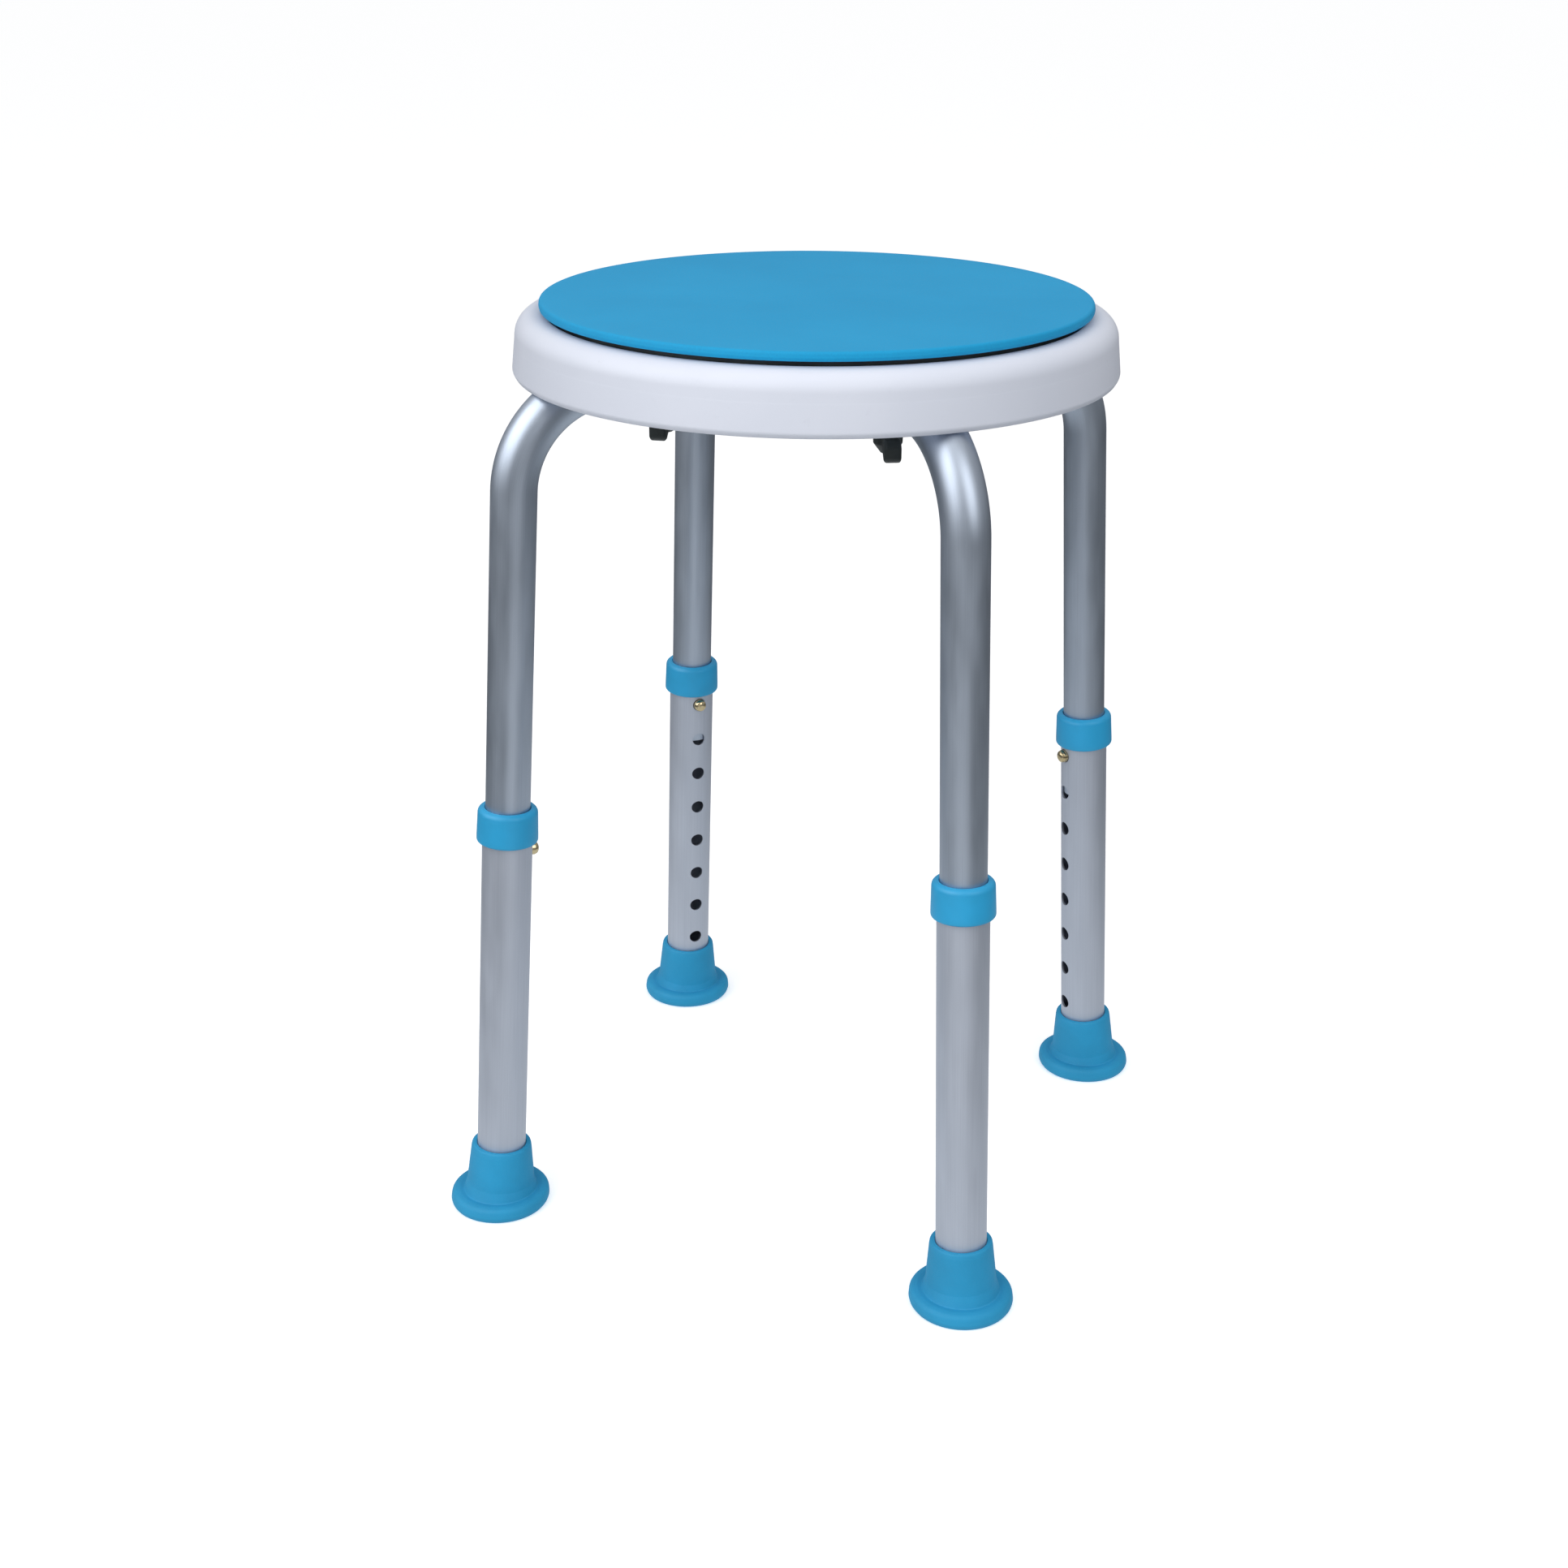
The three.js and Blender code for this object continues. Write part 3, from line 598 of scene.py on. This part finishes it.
def swivel_disc():
    """The plate under the pad, with sunk holes for the screws into the inner race. Its black is
    painted shade: it makes the slit between the pad and the seat rim read dark.
    """
    low, high = corners("swivel_disc")
    radius = high.x
    body = lathe(rounded([
        (0, low.z, 0),
        (radius, low.z, 0.8),
        (radius, high.z, 0.8),
        (0, high.z, 0),
    ]), sides=160)
    past = CUT_PAST["plate"]
    head_room = 3.7
    head_depth = 2.8
    shank_holes = []
    head_holes = []
    for i in SCREWS:
        node = "disc_screw_%d" % i
        shank_hole = rod(SCREW_HOLE, low.z - past, high.z + past, sides=32)
        head_hole = rod(head_room, high.z - head_depth, high.z + past, sides=32)
        shank_holes.append(turned(shank_hole, azimuth_of(node), reach_of(node)))
        head_holes.append(turned(head_hole, azimuth_of(node), reach_of(node)))
    mesh = combined(body, ("DIFFERENCE", shank_holes), ("DIFFERENCE", head_holes))
    # painted shade: the disc gets the black plastic so that the slit under the pad reads dark
    piece("turning_disc", mesh, BLACK_AND_GAP_SHADE, TOP_BODY, "swivel_disc")


# ---- frame tubes ----


def tube_stations():
    """Stations of half an inverted-U centre line: x, z, and the direction to the U's inside.

    They stand closer together at the bends, the bolt and button holes and the pressed middle.
    """
    lean = math.atan(SLOPE)
    corner = FOOT_CIRCLE - SLOPE * TUBE_LEVEL
    bend_angle = math.pi / 2 - lean
    tangent = BEND_RADIUS * math.tan(bend_angle / 2)
    leg_top = (TUBE_LEVEL - BEND_RADIUS * (1 - math.sin(lean))) / math.cos(lean)
    hole_low = HOLE["top"] - 1.6 * HOLE["radius"]
    hole_high = HOLE["top"] + 1.6 * HOLE["radius"]
    fine, coarse, margin = 1.5, 36, 8
    stations = []
    heights = [UPPER_TUBE_END, UPPER_TUBE_END + margin]
    heights += spread(hole_low, hole_high, fine)
    heights += spread(hole_high + margin, leg_top - margin / 2, coarse)
    for height in heights:
        stations.append((
            FOOT_CIRCLE - height * math.sin(lean),
            height * math.cos(lean),
            (-math.cos(lean), -math.sin(lean)),
        ))
    bend_steps = 30
    for i in range(bend_steps + 1):
        angle = lean + bend_angle * i / bend_steps
        stations.append((
            corner - tangent + BEND_RADIUS * math.cos(angle),
            TUBE_LEVEL - BEND_RADIUS + BEND_RADIUS * math.sin(angle),
            (-math.cos(angle), -math.sin(angle)),
        ))
    knob = reach_of("knob_washer_front_left")
    level = spread(corner - tangent - 5, knob + 6, 6)
    level += spread(knob + 5.4, knob - 5.4, 1.8)
    level += spread(knob - margin, FLAT["round_reach"] + 2, 9)
    level += spread(FLAT["round_reach"], 5, fine)
    level += spread(4, 0, 1.3)
    stations += [(x, TUBE_LEVEL, (0, -1)) for x in level]
    return stations


def spread(start, end, pitch):
    """Evenly spaced values from start to end, about a pitch apart."""
    count = max(1, round(abs(end - start) / pitch))
    return [start + (end - start) * i / count for i in range(count + 1)]


def smoothstep(share):
    """A share from 0 to 1, eased at both ends."""
    share = max(0.0, min(1.0, share))
    return share * share * (3 - 2 * share)


def tube_rings(radius, azimuth, flat_side, sides=64):
    """Rings of one wall of a frame tube, pressed flat at its middle.

    flat_side is 1 where the pressed middle lies at the top of the tube and -1 at the bottom.
    """
    inset = UPPER_TUBE["outer"] - radius
    along = Vector((math.cos(math.radians(azimuth)), math.sin(math.radians(azimuth)), 0))
    across = Vector((-along.y, along.x, 0))
    half = tube_stations()
    mirrored = [(-x, z, (-inside[0], inside[1])) for x, z, inside in reversed(half[:-1])]
    rings = []
    for x, z, inside in half + mirrored:
        press = (FLAT["round_reach"] - abs(x)) / (FLAT["round_reach"] - FLAT["reach"])
        share = smoothstep(press)
        tall = radius + (FLAT["half_height"] - inset - radius) * share
        wide = radius + (FLAT["half_width"] - inset - radius) * share
        lift = flat_side * (UPPER_TUBE["outer"] - FLAT["half_height"]) * share
        centre = along * x + Vector((0, 0, z + lift))
        inner = along * inside[0] + Vector((0, 0, inside[1]))
        bulge = 2 / (2 + 1.6 * share)
        ring = []
        for k in range(sides):
            angle = math.tau * k / sides
            high = math.copysign(abs(math.cos(angle)) ** bulge, math.cos(angle))
            out = math.copysign(abs(math.sin(angle)) ** bulge, math.sin(angle))
            ring.append(centre + inner * (tall * high) + across * (wide * out))
        rings.append(ring)
    return rings


def button_cutter(height):
    """A bar across the leg that cuts one button hole on the leg's inner side."""
    cutter = rod(HOLE["radius"], HOLE["near"], HOLE["far"])
    return moved(cutter, Matrix.Translation((0, 0, height)) @ Matrix.Rotation(math.pi / 2, 4, "Y"))


def bolt_cutters(bottom, top, legs):
    """Bars for the middle bolt and for the bolts of the legs named."""
    cutters = [rod(BOLT_HOLE, bottom, top, sides=40)]
    for leg in legs:
        node = "knob_washer_" + leg
        cutter = rod(BOLT_HOLE, bottom, top, sides=40)
        cutters.append(turned(cutter, azimuth_of(node), reach_of(node)))
    return cutters


def frame_tube(name, node, azimuth, flat_side, legs):
    """One inverted-U tube, bored for its bolts and for the snap buttons of its two legs."""
    outside = tube_rings(UPPER_TUBE["outer"], azimuth, flat_side)
    inside = tube_rings(UPPER_TUBE["inner"], azimuth, flat_side)
    body = skin(outside + inside[::-1], loop=True)
    cuts = bolt_cutters(TUBE_LEVEL - CUT_PAST["tube"], TUBE_LEVEL + CUT_PAST["tube"], legs)
    cuts += [moved(button_cutter(HOLE["top"]), PLACES[leg]) for leg in legs]
    mesh = combined(body, ("DIFFERENCE", cuts))
    piece(name, mesh, UPPER_ALUMINIUM, FRAME_BODY, node)


# ---- seat ----


def seat_shell():
    """The turned shell of the seat: its skirt, shoulder, sunk well and plain underside."""
    bottom, rim_top, draft = SEAT["bottom"], SEAT["rim_top"], SEAT["draft"]
    foot_corner = SEAT_RADIUS + 0.42
    crease_radius = foot_corner - draft * (SEAT["crease"] - bottom)
    shoulder = arc(
        SEAT["rim_radius"], rim_top - SEAT["shoulder"], SEAT["shoulder"], 5, 90, 14
    )
    skirt = rounded([
        (0, CEILING, 0),
        (SEAT_RADIUS - 5.5, CEILING, 2.2),
        (SEAT_RADIUS - 3.1, bottom, 0.45),
        (SEAT_RADIUS - 1.3, bottom, 1.4),
        (foot_corner - 0.2, bottom + 2.6, 3.0),
        (crease_radius, SEAT["crease"], 0.8),
        (crease_radius - SEAT["crease_step"], SEAT["crease"] + 0.8, 0.8),
        (*shoulder[0], 0),
    ])
    well = rounded([
        (*shoulder[-1], 0),
        (SEAT["well_radius"], rim_top, 0.9),
        (SEAT["well_radius"], SEAT["well_floor"], 1.0),
        (0, SEAT["well_floor"], 0),
    ])
    return lathe(skirt[:-1] + shoulder + well[1:], sides=256)


def seat_rib(azimuth, start, end, aside):
    """A rib under the seat, tapered for the mould and rounded along its lower edge."""
    root = CEILING + SEAT["wall"] / 2
    half_root = RIB["thickness"] / 2
    half_tip = half_root - RIB["taper"]
    section = rounded([
        (-half_root, root, 0),
        (-half_tip, RIB["bottom"], 0.7),
        (half_tip, RIB["bottom"], 0.7),
        (half_root, root, 0),
    ])
    rib = prism(section, end - start)
    shift = Matrix.Translation(((start + end) / 2, aside, 0)) @ Matrix.Rotation(
        math.pi / 2, 4, "Z"
    )
    return turned(moved(rib, shift), azimuth)


def seat_base():
    """The moulded seat: a rib along each side of every tube, and a spoke rib between them."""
    tube_room = 1
    aside = UPPER_TUBE["outer"] + tube_room + RIB["thickness"] / 2
    spoke_end = SEAT_RADIUS - 4.9
    ribs = []
    for quarter in range(4):
        azimuth = 45 + 90 * quarter
        ribs.append(seat_rib(azimuth, RIB["inner"], RIB["outer"], aside))
        ribs.append(seat_rib(azimuth, RIB["inner"], RIB["outer"], -aside))
        ribs.append(seat_rib(azimuth + 45, RIB["spoke"], spoke_end, 0))
    below, above = CEILING - CUT_PAST["seat"], SEAT["well_floor"] + CUT_PAST["seat"]
    cuts = bolt_cutters(below, above, LEGS)
    for i in SCREWS:
        node = "race_screw_%d" % i
        cutter = rod(SCREW_HOLE, below, above, sides=32)
        cuts.append(turned(cutter, azimuth_of(node), reach_of(node)))
    mesh = combined(seat_shell(), ("UNION", ribs), ("DIFFERENCE", cuts))
    piece("moulded_seat", mesh, WHITE, FRAME_BODY, "seat_base")


# ---- legs ----


def leg_tube_mesh():
    """The lower tube, with its row of height holes on the side of the stool's axis."""
    bottom, top = LOWER_TUBE_ENDS
    outer, inner = LOWER_TUBE["outer"], LOWER_TUBE["inner"]
    hole_margin = 6.6
    chamfer = 0.35
    heights = [bottom, bottom + 12]
    for i in reversed(range(HOLE["count"])):
        hole = HOLE["top"] - i * HOLE["pitch"]
        heights += spread(hole - hole_margin, hole + hole_margin, 1.5)
    heights += [top - 10, top - chamfer]
    outline = [(outer, height) for height in heights] + [(outer - chamfer, top)]
    outline += [(inner, top)] + [(inner, height) for height in reversed(heights)]
    body = lathe(outline, sides=72, closed=True)
    cuts = [button_cutter(HOLE["top"] - i * HOLE["pitch"]) for i in range(HOLE["count"])]
    return combined(body, ("DIFFERENCE", cuts))


def collar_mesh():
    """A snug sleeve over the lower tube's end, narrowing to a soft shoulder on the upper tube."""
    bottom, top = COLLAR["bottom"], COLLAR["top"]
    grip = LOWER_TUBE["outer"] + FIT_GAP
    neck = UPPER_TUBE["outer"] + FIT_GAP
    return lathe(rounded([
        (grip, bottom, 0.3),
        (COLLAR["radius"], bottom, 1.7),
        (COLLAR["radius"] - 0.05, bottom + 4, 3),
        (COLLAR["waist"], top, 3.1),
        (neck, top, 0.45),
        (neck, COLLAR["lip_inside"], 0),
        (grip, COLLAR["lip_inside"], 0),
    ]), sides=96, closed=True)


def foot_tip_mesh():
    """A rubber tip: a boot round the tube on a broad flange, with a ringed sole and a cup.

    Everything below the flange's top is sheared, so that the sole stands flat under a leaning leg.
    """
    flange, sole = TIP["flange"], TIP["sole"]
    cup_depth = 2.5
    groove_depth = 1.2
    outline = [(0, cup_depth, 0), (11.4, cup_depth, 0.8), (12.6, 0, 0.4)]
    for groove in (16, 19.5, 23):
        outline += [
            (groove - 0.9, 0, 0.2),
            (groove - 0.6, groove_depth, 0.2),
            (groove + 0.6, groove_depth, 0.2),
            (groove + 0.9, 0, 0.2),
        ]
    outline += [
        (flange - 1.6, 0, 0.9),
        (flange - 0.5, 1.6, 0.8),
        (flange, 3.3, 2.4),
        (flange - 0.6, 8.6, 3.2),
        (flange - 5.0, TIP["flange_top"] - 1.1, 5.0),
        (TIP["boot"] + 2.1, TIP["flange_top"] - 1.4, 0.8),
        (TIP["boot"] + 0.2, sole + 0.6, 1.0),
        (TIP["lip"] + 0.55, TIP["height"] - 3.2, 3.0),
        (TIP["lip"], TIP["height"], 1.3),
        (LOWER_TUBE["outer"] + FIT_GAP, TIP["height"], 0.5),
        (LOWER_TUBE["outer"] + FIT_GAP, sole, 0),
        (0, sole, 0),
    ]
    mesh = lathe(rounded(outline), sides=120)
    for vertex in mesh.vertices:
        level = (sole - vertex.co.z) / (sole - TIP["flange_top"])
        vertex.co.z += max(0.0, min(1.0, level)) * SLOPE * vertex.co.x
    return mesh


def snap_button_mesh():
    """A round-nosed brass pin that looks out of the top hole towards the stool's axis."""
    radius, base, reach = BUTTON["radius"], BUTTON["base"], BUTTON["reach"]
    nose = 2.6
    outline = rounded([
        (0, base, 0),
        (radius, base, 0.3),
        (radius, reach - nose, 0.4),
        (radius * 0.86, reach - nose * 0.42, 1.6),
        (radius * 0.45, reach, 3.2),
        (0, reach, 0),
    ])
    mesh = moved(lathe(outline, sides=64), Matrix.Rotation(math.pi / 2, 4, "Y"))
    return moved(mesh, Matrix.Translation((0, 0, HOLE["top"])))


def build_legs():
    """The four legs' own pieces, each shape made once and placed four times."""
    kinds = (
        ("lower_tube_", leg_tube_mesh(), LOWER_ALUMINIUM, "_leg", "lower_aluminium", "leg_tube_"),
        ("collar_", collar_mesh(), COLLAR_BLUE, "_leg", "blue_collar", "leg_collar_"),
        ("rubber_tip_", foot_tip_mesh(), RUBBER_BLUE, "_leg", "blue_rubber", "foot_tip_"),
        ("brass_button_", snap_button_mesh(), BRASS, "_button", "button_brass", "snap_button_"),
    )
    for leg in LEGS:
        for name, mesh, material, body, slot, node in kinds:
            piece(name + leg, mesh, material, leg + body, node + leg, PLACES[leg])


# ---- hardware under the seat ----


def washer_mesh(node):
    """A flat washer with rounded edges, at the node's height on the origin's axis."""
    low, high = corners(node)
    radius = (high.x - low.x) / 2
    return lathe(rounded([
        (BOLT_HOLE, low.z, 0.25),
        (radius, low.z, 0.45),
        (radius, high.z, 0.45),
        (BOLT_HOLE, high.z, 0.25),
    ]), sides=72, closed=True)


def wing_knob_mesh(top):
    """A round hub that tapers at its foot, with two thick wings that hang a little below it."""
    hub_foot = top - KNOB["height"] + 1.0
    hub = lathe(rounded([
        (0, hub_foot, 0),
        (KNOB["hub"] * 0.45, hub_foot, 1.2),
        (KNOB["hub"] - 0.4, hub_foot + 5.4, 1.4),
        (KNOB["hub"], top, 0.7),
        (0, top, 0),
    ]), sides=72)
    wing, height = KNOB["wing"], KNOB["height"]
    side = [
        (wing - 3.4, -3.6, 3.2),
        (wing, -7.5, 3.4),
        (wing, -height + 2, 2.4),
        (wing - 2.6, -height, 2.0),
        (wing - 5.6, -height, 2.4),
        (KNOB["hub"] - 0.6, -height * 0.62, 2.2),
    ]
    outline = side + [(-x, z, fillet) for x, z, fillet in reversed(side)]
    level = [(x, top + z) for x, z in rounded(outline, 4)]
    wings = softened(prism(level, KNOB["thickness"]), width=1.5, segments=4, angle=60)
    bore = rod(BOLT_HOLE, top - KNOB["bore"], top + CUT_PAST["plate"], sides=40)
    return combined(hub, ("UNION", [wings]), ("DIFFERENCE", [bore]))


def build_knobs():
    """A washer and a wing knob under each end of the frame tubes."""
    knob = wing_knob_mesh(corners("wing_knob_" + LEGS[0])[1].z)
    for leg in LEGS:
        node = "knob_washer_" + leg
        spot = middle(node)
        place = Matrix.Translation((spot.x, spot.y, 0))
        turn = Matrix.Rotation(math.radians(KNOB_TURNS[leg]), 4, "Z")
        piece("washer_" + leg, washer_mesh(node), STEEL, FRAME_BODY, node, place)
        piece(
            "knob_" + leg, knob, BLACK_AND_GAP_SHADE, leg + "_knob", "wing_knob_" + leg,
            place @ turn, smooth=36,
        )


def centre_hardware():
    """The washer, lock nut and threaded bolt end at the middle of the stool."""
    piece(
        "washer_centre", washer_mesh("centre_washer"), STEEL, FRAME_BODY, "centre_washer",
    )
    low, high = corners("centre_nut")
    hexagon = (high.x - low.x) / 2
    flats = hexagon * math.cos(math.pi / 6)
    collar_height = 1.5
    waist = low.z + collar_height
    foot = waist - 0.3
    six_sided = lathe([(0, foot), (hexagon, foot), (hexagon, high.z), (0, high.z)], sides=6)
    barrel = lathe(rounded([
        (0, low.z - 1, 0),
        (flats, waist - 0.4, 0),
        (hexagon + 0.1, waist + 0.8, 0),
        (hexagon + 0.1, high.z - 0.8, 0),
        (flats, high.z, 0),
        (0, high.z, 0),
    ]), sides=72)
    body = combined(six_sided, ("INTERSECT", [barrel]))
    collar_radius = 4.8
    ring = lathe(rounded([
        (0, low.z, 0),
        (collar_radius, low.z, 0.7),
        (collar_radius, waist + 1, 0),
        (0, waist + 1, 0),
    ]), sides=64)
    past = CUT_PAST["plate"]
    bore = rod(BOLT_HOLE, low.z - past, high.z + past, sides=48)
    mesh = combined(body, ("UNION", [ring]), ("DIFFERENCE", [bore]))
    piece("lock_nut_centre", mesh, STEEL, FRAME_BODY, "centre_nut")
    piece("bolt_centre", threaded_bolt("centre_bolt"), STEEL, FRAME_BODY, "centre_bolt")


def threaded_bolt(node):
    """An M6 bolt: a low button head above, and a rolled thread along its lower end."""
    low, high = corners(node)
    radius = 3.0
    pitch = 1.0
    thread_length = 22
    thread_depth = 0.42
    head_height = 3
    head_radius = (high.x - low.x) / 2
    outline = [(0, low.z), (radius - 0.7, low.z)]
    for i in range(int(thread_length / pitch)):
        foot = low.z + 0.3 + i * pitch
        outline += [(radius - thread_depth, foot), (radius, foot + pitch * 0.42)]
        outline += [(radius, foot + pitch * 0.58)]
    outline += [(radius - 0.1, low.z + thread_length + 1)]
    outline += rounded([
        (radius, high.z - head_height, 0),
        (head_radius, high.z - head_height, 0.4),
        (head_radius * 0.93, high.z - head_height * 0.5, 1.2),
        (head_radius * 0.55, high.z, 2.0),
        (0, high.z, 0),
    ])
    return lathe(outline, sides=48)


def race_screw(index):
    """A pan-head screw with a cross recess, driven up through the seat into the outer race."""
    node = "race_screw_%d" % index
    low, high = corners(node)
    head_radius, head_height, shank = 3.4, 2.2, 1.5
    head_top = low.z + head_height
    body = lathe(rounded([
        (0, low.z, 0),
        (head_radius * 0.6, low.z, 1.6),
        (head_radius * 0.97, low.z + head_height * 0.45, 0.8),
        (head_radius, head_top, 0.2),
        (shank, head_top, 0.1),
        (shank, high.z, 0.3),
        (0, high.z, 0),
    ]), sides=48)
    blade = [(-1.9, low.z - 1), (1.9, low.z - 1), (0.9, low.z + 1.3), (-0.9, low.z + 1.3)]
    blades = [turned(prism(blade, 0.75), azimuth) for azimuth in (0, 90)]
    mesh = combined(body, *(("DIFFERENCE", [cutter]) for cutter in blades))
    spot = middle(node)
    place = Matrix.Translation((spot.x, spot.y, 0))
    recess_step = 23  # degrees, so that no two recesses face the same way
    turn = Matrix.Rotation(math.radians(recess_step * index), 4, "Z")
    piece("seat_screw_%d" % index, mesh, STEEL, FRAME_BODY, node, place @ turn)


def repaint(material, *names):
    """Gives carried-over CAD nodes their finished material."""
    for name in names:
        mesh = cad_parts[name].data
        mesh.materials.clear()
        mesh.materials.append(material)


# ---- the stool ----


def build_stool():
    """Every piece of the stool, and finished materials for the CAD nodes that are kept."""
    seat_pad()
    swivel_disc()
    seat_base()
    frame_tube("upper_tube_a", "frame_tube_a", 45, 1, ("rear_right", "front_left"))
    frame_tube("upper_tube_b", "frame_tube_b", 135, -1, ("rear_left", "front_right"))
    build_legs()
    build_knobs()
    for leg in LEGS:
        repaint(STEEL, "seat_bolt_" + leg, "button_spring_" + leg, "foot_washer_" + leg)
    centre_hardware()
    for i in SCREWS:
        race_screw(i)
        repaint(STEEL, "disc_screw_%d" % i)
    repaint(BEARING_STEEL, "outer_race", "inner_race", "ball_cage")


# ---- floor and light: metres and watts ----

FLOOR_SIZE = 40.0
FLOOR_GLOW = 0.44
# (distance from the middle, brightness) where the light from the floor starts and stops fading
FLOOR_BOUNCE = {"colour": (0.93, 0.97, 1.0), "near": (0.3, 0.74), "far": (0.9, 0.12)}
# the studio's colours from straight down to straight up
WORLD = {
    "below": (0.4, 0.42, 0.46),
    "low": (0.4, 0.42, 0.46),
    "level": (0.6, 0.62, 0.65),
    "high": (0.86, 0.87, 0.89),
    "above": (1.3, 1.3, 1.3),
    "strength": 0.5,
}
# each lamp's place and aim, its power, and the width and height of its face
OVERHEAD = ((-0.3, -0.35, 2.0), (0, 0, 0), 0.25)
OVERHEAD_WIDTH = 45  # degrees of sky
KEY = ((-0.9, -2.1, 1.4), (0, 0, 0.35), 31.5, (2.6, 2.0))
HIGHLIGHT = ((-1.5, -1.6, 1.9), (0, 0, 0.4), 50, (3.2, 2.2))
FILL = ((1.6, -1.1, 1.7), (0, 0, 0.4), 15, (1.5, 1.8))
CARD = {"distance": 0.5, "height": 0.06, "energy": 0.26, "size": (0.4, 0.5)}


def make_floor():
    """A large pale floor, even to the camera, whose light on the stool fades with the distance.

    Seen from below, it lets the light and the view through.
    """
    mesh = bpy.data.meshes.new("floor")
    half = FLOOR_SIZE / 2
    mesh.from_pydata(
        [(-half, -half, 0), (half, -half, 0), (half, half, 0), (-half, half, 0)], [], [(0, 1, 2, 3)]
    )
    floor = bpy.data.objects.new("floor", mesh)
    bpy.context.scene.collection.objects.link(floor)
    floor.location.z = -FLOOR_DROP * MM
    material = bpy.data.materials.new("floor")
    material.use_nodes = True
    tree = material.node_tree
    tree.nodes.clear()
    out = add(tree, "OutputMaterial")
    matte = add(tree, "BsdfDiffuse", {"Color": (0.93, 0.93, 0.93, 1)})
    glow = add(tree, "Emission", {"Color": (1, 1, 1, 1), "Strength": FLOOR_GLOW})
    seen = add(tree, "AddShader", {0: matte.outputs[0], 1: glow.outputs[0]})
    spot = add(tree, "TexCoord").outputs["Object"]
    away = add(tree, "VectorMath", {0: spot}, operation="LENGTH").outputs["Value"]
    near, far = FLOOR_BOUNCE["near"], FLOOR_BOUNCE["far"]
    strength = between(tree, away, near[1], far[1], near[0], far[0])
    bounce = add(tree, "Emission", {"Color": (*FLOOR_BOUNCE["colour"], 1), "Strength": strength})
    by_eye = add(tree, "LightPath").outputs["Is Camera Ray"]
    lit = add(tree, "MixShader", {0: by_eye, 1: bounce.outputs[0], 2: seen.outputs[0]})
    clear = add(tree, "BsdfTransparent")
    back = add(tree, "NewGeometry").outputs["Backfacing"]
    mix = add(tree, "MixShader", {0: back, 1: lit.outputs[0], 2: clear.outputs[0]})
    tree.links.new(mix.outputs[0], out.inputs["Surface"])
    mesh.materials.append(material)


def make_world():
    """Even studio light, brighter from above than from the sides."""
    world = bpy.data.worlds.new("studio")
    bpy.context.scene.world = world
    world.use_nodes = True
    tree = world.node_tree
    tree.nodes.clear()
    out = add(tree, "OutputWorld")
    direction = add(tree, "TexCoord").outputs["Generated"]
    height = add(tree, "SeparateXYZ", {0: direction}).outputs["Z"]
    ramp = add(tree, "ValToRGB", {0: between(tree, height, 0, 1, -1, 1)})
    levels = ramp.color_ramp.elements
    levels[0].position, levels[1].position = 0.0, 1.0
    levels[0].color = (*WORLD["below"], 1)
    levels[1].color = (*WORLD["above"], 1)
    for position, key in ((0.42, "low"), (0.55, "level"), (0.75, "high")):
        element = levels.new(position)
        element.color = (*WORLD[key], 1)
    background = add(tree, "Background", {"Color": ramp.outputs[0], "Strength": WORLD["strength"]})
    tree.links.new(background.outputs[0], out.inputs["Surface"])


def make_light(name, kind, place, aim, energy, size=None, **settings):
    """A lamp that the camera doesn't see; a size, in metres, makes it a rectangle."""
    light = bpy.data.lights.new(name, kind)
    light.energy = energy
    if size:
        light.shape = "RECTANGLE"
        light.size, light.size_y = size
    for key, value in settings.items():
        setattr(light, key, value)
    lamp = bpy.data.objects.new(name, light)
    bpy.context.scene.collection.objects.link(lamp)
    direction = Vector(aim) - Vector(place)
    lamp.matrix_world = Matrix.LocRotScale(
        Vector(place), direction.to_track_quat("-Z", "Y"), None
    )
    lamp.visible_camera = False
    return lamp


def make_lights():
    """The studio: its surroundings, the floor, and soft lamps from above, the left and the right.

    The key light reaches matt surfaces only; the highlight and the card are mirrored only, along
    the bends of the tubes and down their length.
    """
    bpy.context.scene.view_settings.view_transform = "Standard"
    make_world()
    make_floor()
    make_light("overhead", "SUN", *OVERHEAD, angle=math.radians(OVERHEAD_WIDTH))
    key = make_light("key", "AREA", *KEY)
    key.visible_glossy = False
    highlight = make_light("highlight", "AREA", *HIGHLIGHT)
    highlight.visible_diffuse = False
    make_light("fill", "AREA", *FILL)
    azimuth = math.radians(CAMERA["azimuth"])
    ahead = Vector((math.sin(azimuth), -math.cos(azimuth), 0))
    level = Vector((0, 0, CARD["height"]))
    place = ahead * CARD["distance"] + level
    card = make_light("card", "AREA", place, level, CARD["energy"], CARD["size"])
    card.visible_diffuse = False


build_stool()
make_lights()
